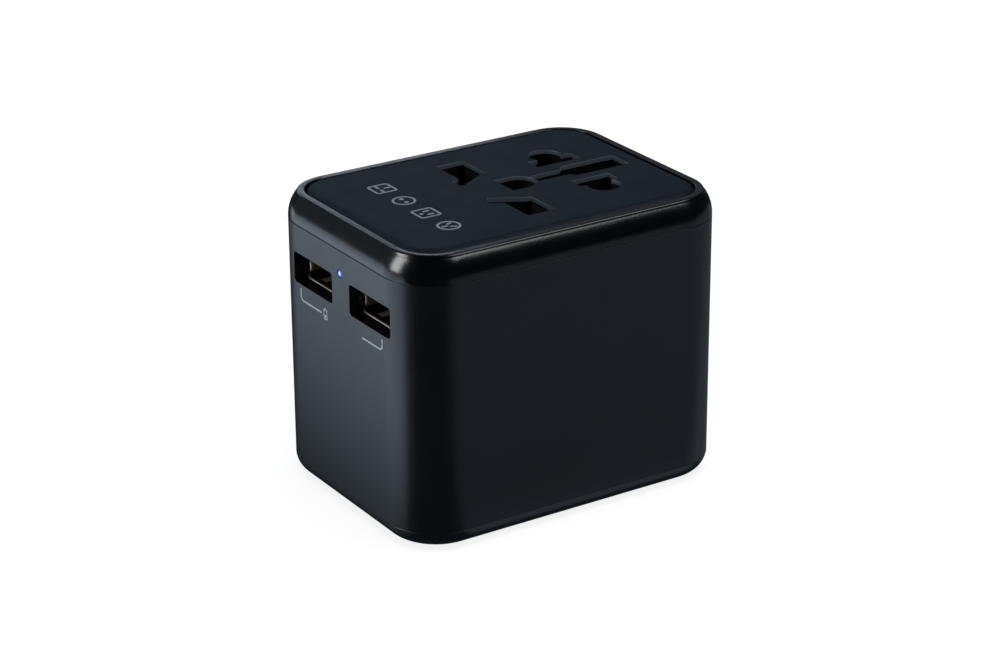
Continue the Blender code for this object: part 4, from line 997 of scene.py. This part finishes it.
for number, y in enumerate(PORT_YS, 1):
    out_y, out_z = SHELL_HALF
    in_y, in_z = out_y - SHEET, out_z - SHEET
    profile = [
        (SHELL_FRONT + 0.08 * MM, out_y, out_z, 0.7), (SHELL_BACK, out_y, out_z, 0.7),
        (SHELL_BACK, in_y, in_z, 0.4), (SHELL_FRONT + 0.2 * MM, in_y, in_z, 0.4),
        (SHELL_FRONT + 0.06 * MM, in_y, in_z + 0.06 * MM, 0.4),
        (SHELL_FRONT, in_y, in_z + 0.18 * MM, 0.4),
        (SHELL_FRONT, out_y, out_z - 0.08 * MM, 0.68),
    ]
    shell = lofted(f"port_shell_{number}", [
        [(x, u, v) for u, v in shifted(rounded(half_y, half_z, radius * MM, 6), y, PORT_Z)]
        for x, half_y, half_z, radius in profile
    ], steel_with_painted_shade.material, closed=True)
    slots = []
    for side in (-1, 1):
        for edge in (-1, 1):
            slot_y = y + side * FINGER_Y + edge * 1.15 * MM
            slots.append(block(
                f"slot_{number}_{side}_{edge}", (SHELL_FRONT + 1.4 * MM, SHELL_FRONT + 8 * MM),
                around(slot_y, 0.22 * MM), (PORT_Z - 4 * MM, PORT_Z + 4 * MM),
            ))
        slots.append(block(
            f"side_slot_{number}_{side}", (SHELL_FRONT + 1.2 * MM, SHELL_FRONT + 7 * MM),
            around(y + side * out_y, MM), around(PORT_Z + 0.2 * MM, 1.1 * MM),
        ))
    carve(shell, slots)
    settle(shell, "shell", "steel", f"usb_shell_{number}")
    bm = bmesh.new()
    for side in (-1, 1):
        finger_y = around(y + side * FINGER_Y, 0.85 * MM)
        for top in (-1, 1):
            skin(bm, [
                [(SHELL_FRONT + x * MM, v, PORT_Z + top * (in_z - rise * MM) + top * w * MM)
                 for v, w in oblong(finger_y, (0, 0.2))]
                for x, rise in FINGER_PATH
            ])
        wall = y + side * in_y
        skin(bm, [
            [(SHELL_FRONT + x * MM, wall - side * (rise + w - v * v / 9) * MM,
              PORT_Z + (v - 0.7) * MM)
             for v, w in ((-0.95, 0), (0, 0.1), (0.95, 0), (0.95, -0.2), (-0.95, -0.2))]
            for x, rise in LEAF_PATH
        ])
    fingers = from_bmesh(f"port_fingers_{number}", bm, spring_bronze)
    settle(fingers, "shell", "steel", angle=40)
    tongue = block(
        f"port_tongue_{number}", (-28.9 * MM, -18.5 * MM), around(y, 5.6 * MM),
        (PORT_Z + 0.2 * MM, PORT_Z + 2.0 * MM), tongue_plastic, bevel=0.2 * MM,
    )
    root = block(
        f"port_root_{number}", (-19.5 * MM, -17.8 * MM), around(y, 5.9 * MM),
        around(PORT_Z, 2.1 * MM), bevel=0.2 * MM,
    )
    carve(tongue, [root], "UNION")
    settle(tongue, "shell", "inner_plastic", f"usb_tongue_{number}")
    bm = bmesh.new()
    for place_y in CONTACT_YS:
        skin(bm, [
            [(x * MM, y + (place_y + v) * MM, PORT_Z + (0.2 + w - drop) * MM)
             for v, w in oblong((-0.5, 0.5), (0, 0.3))]
            for x, drop in CONTACT_PATH
        ])
    contacts = from_bmesh(f"port_contacts_{number}", bm, gilt)
    settle(contacts, "shell", "brass", angle=40)

# Status light: a blue diode on the board, and a moulded pipe that brings its light to a domed nose
# between the ports. The glow fades to black before it reaches the ports.
PIPE_GLOW = 1.15
pipe_plastic = Finish("light_pipe")
from_centre = pipe_plastic.node(
    "ShaderNodeVectorMath", {"operation": "DISTANCE"},
    {0: pipe_plastic.place, 1: (-LENGTH / 2, LED_Y, LED_Z)}, out="Value",
)
spread = pipe_plastic.node(
    "ShaderNodeMapRange", None, {"Value": from_centre, 1: 0.2 * MM, 2: 0.95 * MM}
)
halo = pipe_plastic.node(
    "ShaderNodeValToRGB",
    {"stops": [(0, (0.75, 0.9, 1)), (0.1, (0.25, 0.5, 1)), (0.35, (0.02, 0.15, 1)),
               (0.75, (0, 0.03, 0.5)), (1, (0, 0, 0))]}, {0: spread},
)
pipe_plastic.surface(
    Base_Color=(0.01, 0.013, 0.02, 1), Roughness=spread * 0.1 + 0.2,
    Emission_Color=halo, Emission_Strength=PIPE_GLOW,
)
nose = in_mm([(0, -0.1), (0.3, -0.09), (0.5, -0.05), (0.62, 0.02), (0.66, 0.1), (0.66, 3.8),
              (0, 3.8)])
pipe = turned(
    "light_pipe_nose", nose, (-LENGTH / 2 + 0.1 * MM, LED_Y, LED_Z), (1, 0, 0),
    pipe_plastic.material, 40,
)
stem = block("pipe_stem", (-30.4 * MM, -28.8 * MM), around(LED_Y, MM),
             (40.5 * MM, LED_Z + 0.65 * MM), bevel=0.2 * MM)
carve(pipe, [stem], "UNION")
settle(pipe, "shell", "light_pipe_plastic", "light_pipe")
plain(ceramic, "status_led")

# Housing screws: four pan-head steel screws in the counterbores, one turned profile placed on four
# points. The thread is rolled, so its ridges stand proud of the shank.
SCREW_TURN = 1.2
SCREW_SEED = 7
THREAD_PITCH = 0.6
THREAD_END = 3.2
screw_parts = [(0, 12.2), (0.35, 12.0)]
thread = 11.6
while thread > THREAD_END:
    screw_parts += [(0.72, thread), (1.0, thread - 0.18), (0.72, thread - 0.36)]
    thread -= THREAD_PITCH
screw_parts += [(0.9, 2.6), (1.0, 1.5), (1.9, 1.5), (2.0, 1.4), (2.0, 0.75), (1.85, 0.42),
                (1.5, 0.26), (0, 0.2)]
screw_seed = turned("screw_seed", in_mm(screw_parts), (0, 0, 0), UP)
recess = [
    block(f"recess_{number}", around(0, half[0] * MM), around(0, half[1] * MM), (-MM, MM))
    for number, half in enumerate(((1.2, 0.27), (0.27, 1.2)))
]
carve(screw_seed, recess)
crisp(screw_seed, 32)
screw_points = bpy.data.meshes.new("housing_screws")
screw_points.from_pydata([(x, y, 0) for x, y in SCREWS], [], [])
screws = add_mesh("housing_screws", screw_points)
tree = bpy.data.node_groups.new("screws_on_points", "GeometryNodeTree")
tree.interface.new_socket("Geometry", in_out="OUTPUT", socket_type="NodeSocketGeometry")
tree.interface.new_socket("Points", in_out="INPUT", socket_type="NodeSocketGeometry")
screw_input, finish_input, turn_input = (
    tree.interface.new_socket(name, in_out="INPUT", socket_type=kind).identifier
    for name, kind in (
        ("Screw", "NodeSocketObject"), ("Finish", "NodeSocketMaterial"),
        ("Widest turn", "NodeSocketFloat"),
    )
)
start, shape, spread_turn, turn_vector, copies, real, coated, end = map(tree.nodes.new, (
    "NodeGroupInput", "GeometryNodeObjectInfo", "FunctionNodeRandomValue",
    "ShaderNodeCombineXYZ", "GeometryNodeInstanceOnPoints", "GeometryNodeRealizeInstances",
    "GeometryNodeSetMaterial", "NodeGroupOutput",
))
spread_turn.data_type = "FLOAT"
spread_turn.inputs["Seed"].default_value = SCREW_SEED
for first, second in (
    (start.outputs["Points"], copies.inputs["Points"]),
    (start.outputs["Screw"], shape.inputs["Object"]),
    (shape.outputs["Geometry"], copies.inputs["Instance"]),
    (start.outputs["Widest turn"], spread_turn.inputs[3]),
    (spread_turn.outputs[1], turn_vector.inputs["Z"]),
    (turn_vector.outputs[0], copies.inputs["Rotation"]),
    (copies.outputs[0], real.inputs[0]),
    (real.outputs[0], coated.inputs["Geometry"]),
    (start.outputs["Finish"], coated.inputs["Material"]),
    (coated.outputs[0], end.inputs[0]),
):
    tree.links.new(first, second)
grow = screws.modifiers.new("screws", "NODES")
grow.node_group = tree
grow[screw_input] = screw_seed
grow[finish_input] = steel
grow[turn_input] = SCREW_TURN
bake(screws)
bpy.data.objects.remove(screw_seed)
settle(screws, "shell", "steel", *[f"housing_screw_{number}" for number in range(1, 5)])

# Thumb knobs: one for each plug, moulded with grip ridges, clipped through the wall to the carrier.
# A sprung button in each knob locks the plug.
KNOB_HALF = 4.1 * MM
KNOB_BACK = 23.5 * MM
KNOB_FRONT = 24.9 * MM
BUTTON_HALF = 1.7 * MM
RIDGES = ((2.75, 0.9), (3.6, 1.1), (7.75, 0.9), (8.6, 0.9), (9.45, 0.9))
knob_plastic = moulded("knob_plastic", (0.006, 0.0075, 0.0095), 0.33, depth=0.003 * MM)
button_plastic = moulded("button_plastic", (0.20, 0.22, 0.25), 0.36, depth=0.003 * MM)
for tag, (x, travel) in PLUGS.items():
    base = CARRIER_LOW + travel
    middle = base + (KNOB_Z[0] + KNOB_Z[1]) / 2
    half_z = (KNOB_Z[1] - KNOB_Z[0]) / 2
    face = KNOB_FRONT - 0.5 * MM
    levels = [(0.15, KNOB_BACK), (0, KNOB_BACK + 0.15 * MM), (0, face - 0.3 * MM)]
    levels += [(0.09, face - 0.09 * MM), (0.3, face)]
    knob = lofted(f"{tag}_thumb_knob", [
        [(x + u, w, middle + v) for u, v in
         rounded(KNOB_HALF - inset * MM, half_z - inset * MM, MM - inset * MM, 8)]
        for inset, w in levels
    ], knob_plastic)
    added = [block(
        f"{tag}_stub", around(x, BUTTON_HALF), (20.5 * MM, KNOB_BACK + 0.4 * MM),
        (base + 2.5 * MM, base + 3.9 * MM),
    )]
    for number, (height, inset) in enumerate(RIDGES):
        added.append(block(
            f"{tag}_ridge_{number}", around(x, KNOB_HALF - inset * MM),
            (KNOB_BACK + 0.4 * MM, KNOB_FRONT), around(base + height * MM, 0.24 * MM),
            bevel=0.14 * MM, segments=2,
        ))
    carve(knob, added, "UNION")
    button_middle = base + (BUTTON_Z[0] + BUTTON_Z[1]) / 2
    button_half = (BUTTON_Z[1] - BUTTON_Z[0]) / 2
    well = shifted(rounded(BUTTON_HALF + GAP, button_half + GAP, 0.5 * MM, 6), x, button_middle)
    carve(knob, [punch(f"{tag}_well", well, face, 5 * MM, rear, 0.1 * MM)])
    settle(knob, f"{tag}_slider", "knob_plastic", f"{tag}_knob")
    front = WIDTH / 2 - 0.2 * MM
    levels = [(0.1, 20.9 * MM), (0, 21.0 * MM), (0, front - 0.45 * MM), (0.12, front - 0.16 * MM),
              (0.4, front - 0.03 * MM), (0.8, front)]
    button = lofted(f"{tag}_button_cap", [
        [(x + u, w, button_middle + v) for u, v in
         rounded(BUTTON_HALF - inset * MM, button_half - inset * MM, (0.45 - inset / 3) * MM, 6)]
        for inset, w in levels
    ], button_plastic)
    settle(button, f"{tag}_button", "button_plastic", f"{tag}_lock_button", angle=50)

# Plug carriers: stiff black mouldings that hold the pins and run inside the housing. The walls and
# the knobs hide them, so they keep the shape that the CAD gives them.
carrier_plastic = moulded("carrier_plastic", (0.012, 0.012, 0.014), 0.45, depth=0.006 * MM)
plain(carrier_plastic, "eu_carrier", "uk_carrier", "us_carrier")

# European pins: nickel-plated round pins with a turned nose, and a black sleeve over the upper half
# so that no live metal shows while the plug goes in.
sleeve_plastic = moulded("sleeve_plastic", (0.008, 0.008, 0.009), 0.4, depth=0.003 * MM)
EU_X = PLUGS["eu"][0]
eu_metal = in_mm([(0, 0.5), (0.6, 0.55), (1.2, 0.78), (1.65, 1.2), (1.9, 1.8), (2.0, 2.6),
                  (2.0, 9.3), (1.75, 9.5), (1.75, 27.9), (0, 27.9)])
eu_sleeve = in_mm([(1.76, 9.6), (1.9, 9.55), (1.98, 9.75), (1.98, 26.5), (1.76, 26.5),
                   (1.76, 9.6)])
for name, side in (("live", 1), ("neutral", -1)):
    y = side * PIN_HALF_PITCH["eu"]
    pin = turned(f"eu_metal_{name}", eu_metal, (EU_X, y, 0), UP, nickel, 40)
    tab = block(f"eu_tab_{name}", (EU_X - 2 * MM, 13.9 * MM), around(y, 1.5 * MM),
                (27.7 * MM, 28.3 * MM))
    carve(pin, [tab], "UNION")
    settle(pin, "eu_slider", "nickel_plate", f"eu_pin_{name}")
    jacket = turned(f"eu_sleeve_{name}", eu_sleeve, (EU_X, y, 0), UP, sleeve_plastic, 40)
    settle(jacket, "eu_slider", "carrier_plastic")

# British pins: drawn brass bars with chamfered ends. Live and neutral are sleeved, and the longer
# earth pin, which only opens the shutters, is moulded plastic.
UK_PIN_X = PLUGS["uk"][0]
UK_Y = PIN_HALF_PITCH["uk"]
UK_BAR = (2.0, 3.175)
EARTH_BAR = (4.0, 2.0)
drawn_brass = rolled("drawn_brass", (0.80, 0.57, 0.26), 0.2, (4, 4, 0.5), (0.66, 0.45, 0.18))


def bar_rings(x, y, half, levels):
    """Rings of a rectangular pin. Its half sides and the (inset, z) levels are in millimetres."""
    return [
        [(u, v, z * MM) for u, v in shifted(
            rounded((half[0] - inset) * MM, (half[1] - inset) * MM, 0.3 * MM, 5), x, y
        )]
        for inset, z in levels
    ]


for name, x, y, half, low, material, slot, step in (
    ("uk_pin_live", UK_PIN_X, UK_Y, UK_BAR, 5.5, drawn_brass, "brass", 0.16),
    ("uk_pin_neutral", UK_PIN_X, -UK_Y, UK_BAR, 5.5, drawn_brass, "brass", 0.16),
    ("uk_earth_pin", EARTH_X, 0, EARTH_BAR, 0.5, sleeve_plastic, "inner_plastic", 0.0),
):
    neck = low + 9
    levels = [(1.1, low), (0.85, low + 0.1), (0.2, low + 1.5), (0.0, low + 2.2), (0.0, neck),
              (step, neck + 0.05), (step, 31.5)]
    pin = lofted(f"{name}_bar", bar_rings(x, y, half, levels), material)
    if step:
        tab_x, tab_half = (x - 2 * MM, 2.2 * MM), half[1] - 1.2
    else:
        tab_x, tab_half = around(x, (half[0] + 1) * MM), half[1] + 0.6
    tab = block(f"{name}_tab", tab_x, around(y, tab_half * MM), (31.2 * MM, 31.8 * MM))
    carve(pin, [tab], "UNION")
    settle(pin, "uk_slider", slot, name)
    if step:
        levels = [(0.12, neck + 0.06), (0.0, neck + 0.25), (0.0, 30.5), (step, 30.5),
                  (step, neck + 0.06)]
        rings = bar_rings(x, y, half, levels)
        jacket = lofted(f"{name}_sleeve", rings, sleeve_plastic, closed=True)
        settle(jacket, "uk_slider", "carrier_plastic")

# American and Australian pins: flat brass blades, each set in a round turret that turns in the
# carrier, so that the pair stands straight or slanted.
US_X = PLUGS["us"][0]
hub = in_mm([(0, 17.5), (3.2, 17.5), (3.4, 17.7), (3.4, 19.9), (3.2, 20.1), (2.2, 20.1),
             (2.2, 24.2), (2.0, 24.4), (0, 24.4)])
for name, side in (("live", 1), ("neutral", -1)):
    y = side * PIN_HALF_PITCH["us"]
    levels = [(0.35, 0.45, 0.5), (0.1, 0.15, 0.75), (0.0, 0.0, 1.2), (0.0, 0.0, 18.2)]
    blade = lofted(f"us_metal_{name}", [
        [(US_X + u, y + v, z * MM) for u, v in
         rounded((3.175 - inset_x * 2) * MM, (0.8 - inset_y) * MM, 0.2 * MM, 5)]
        for inset_x, inset_y, z in levels
    ], drawn_brass)
    settle(blade, f"us_{name}_blade", "brass", f"us_blade_{name}")
    turret = turned(f"us_turret_{name}", hub, (US_X, y, 0), UP, sleeve_plastic, 48)
    way = block(f"turret_way_{name}", around(US_X, 3.18 * MM), around(y, 0.81 * MM),
                (17 * MM, 18.25 * MM))
    carve(turret, [way])
    settle(turret, f"us_{name}_blade", "brass")
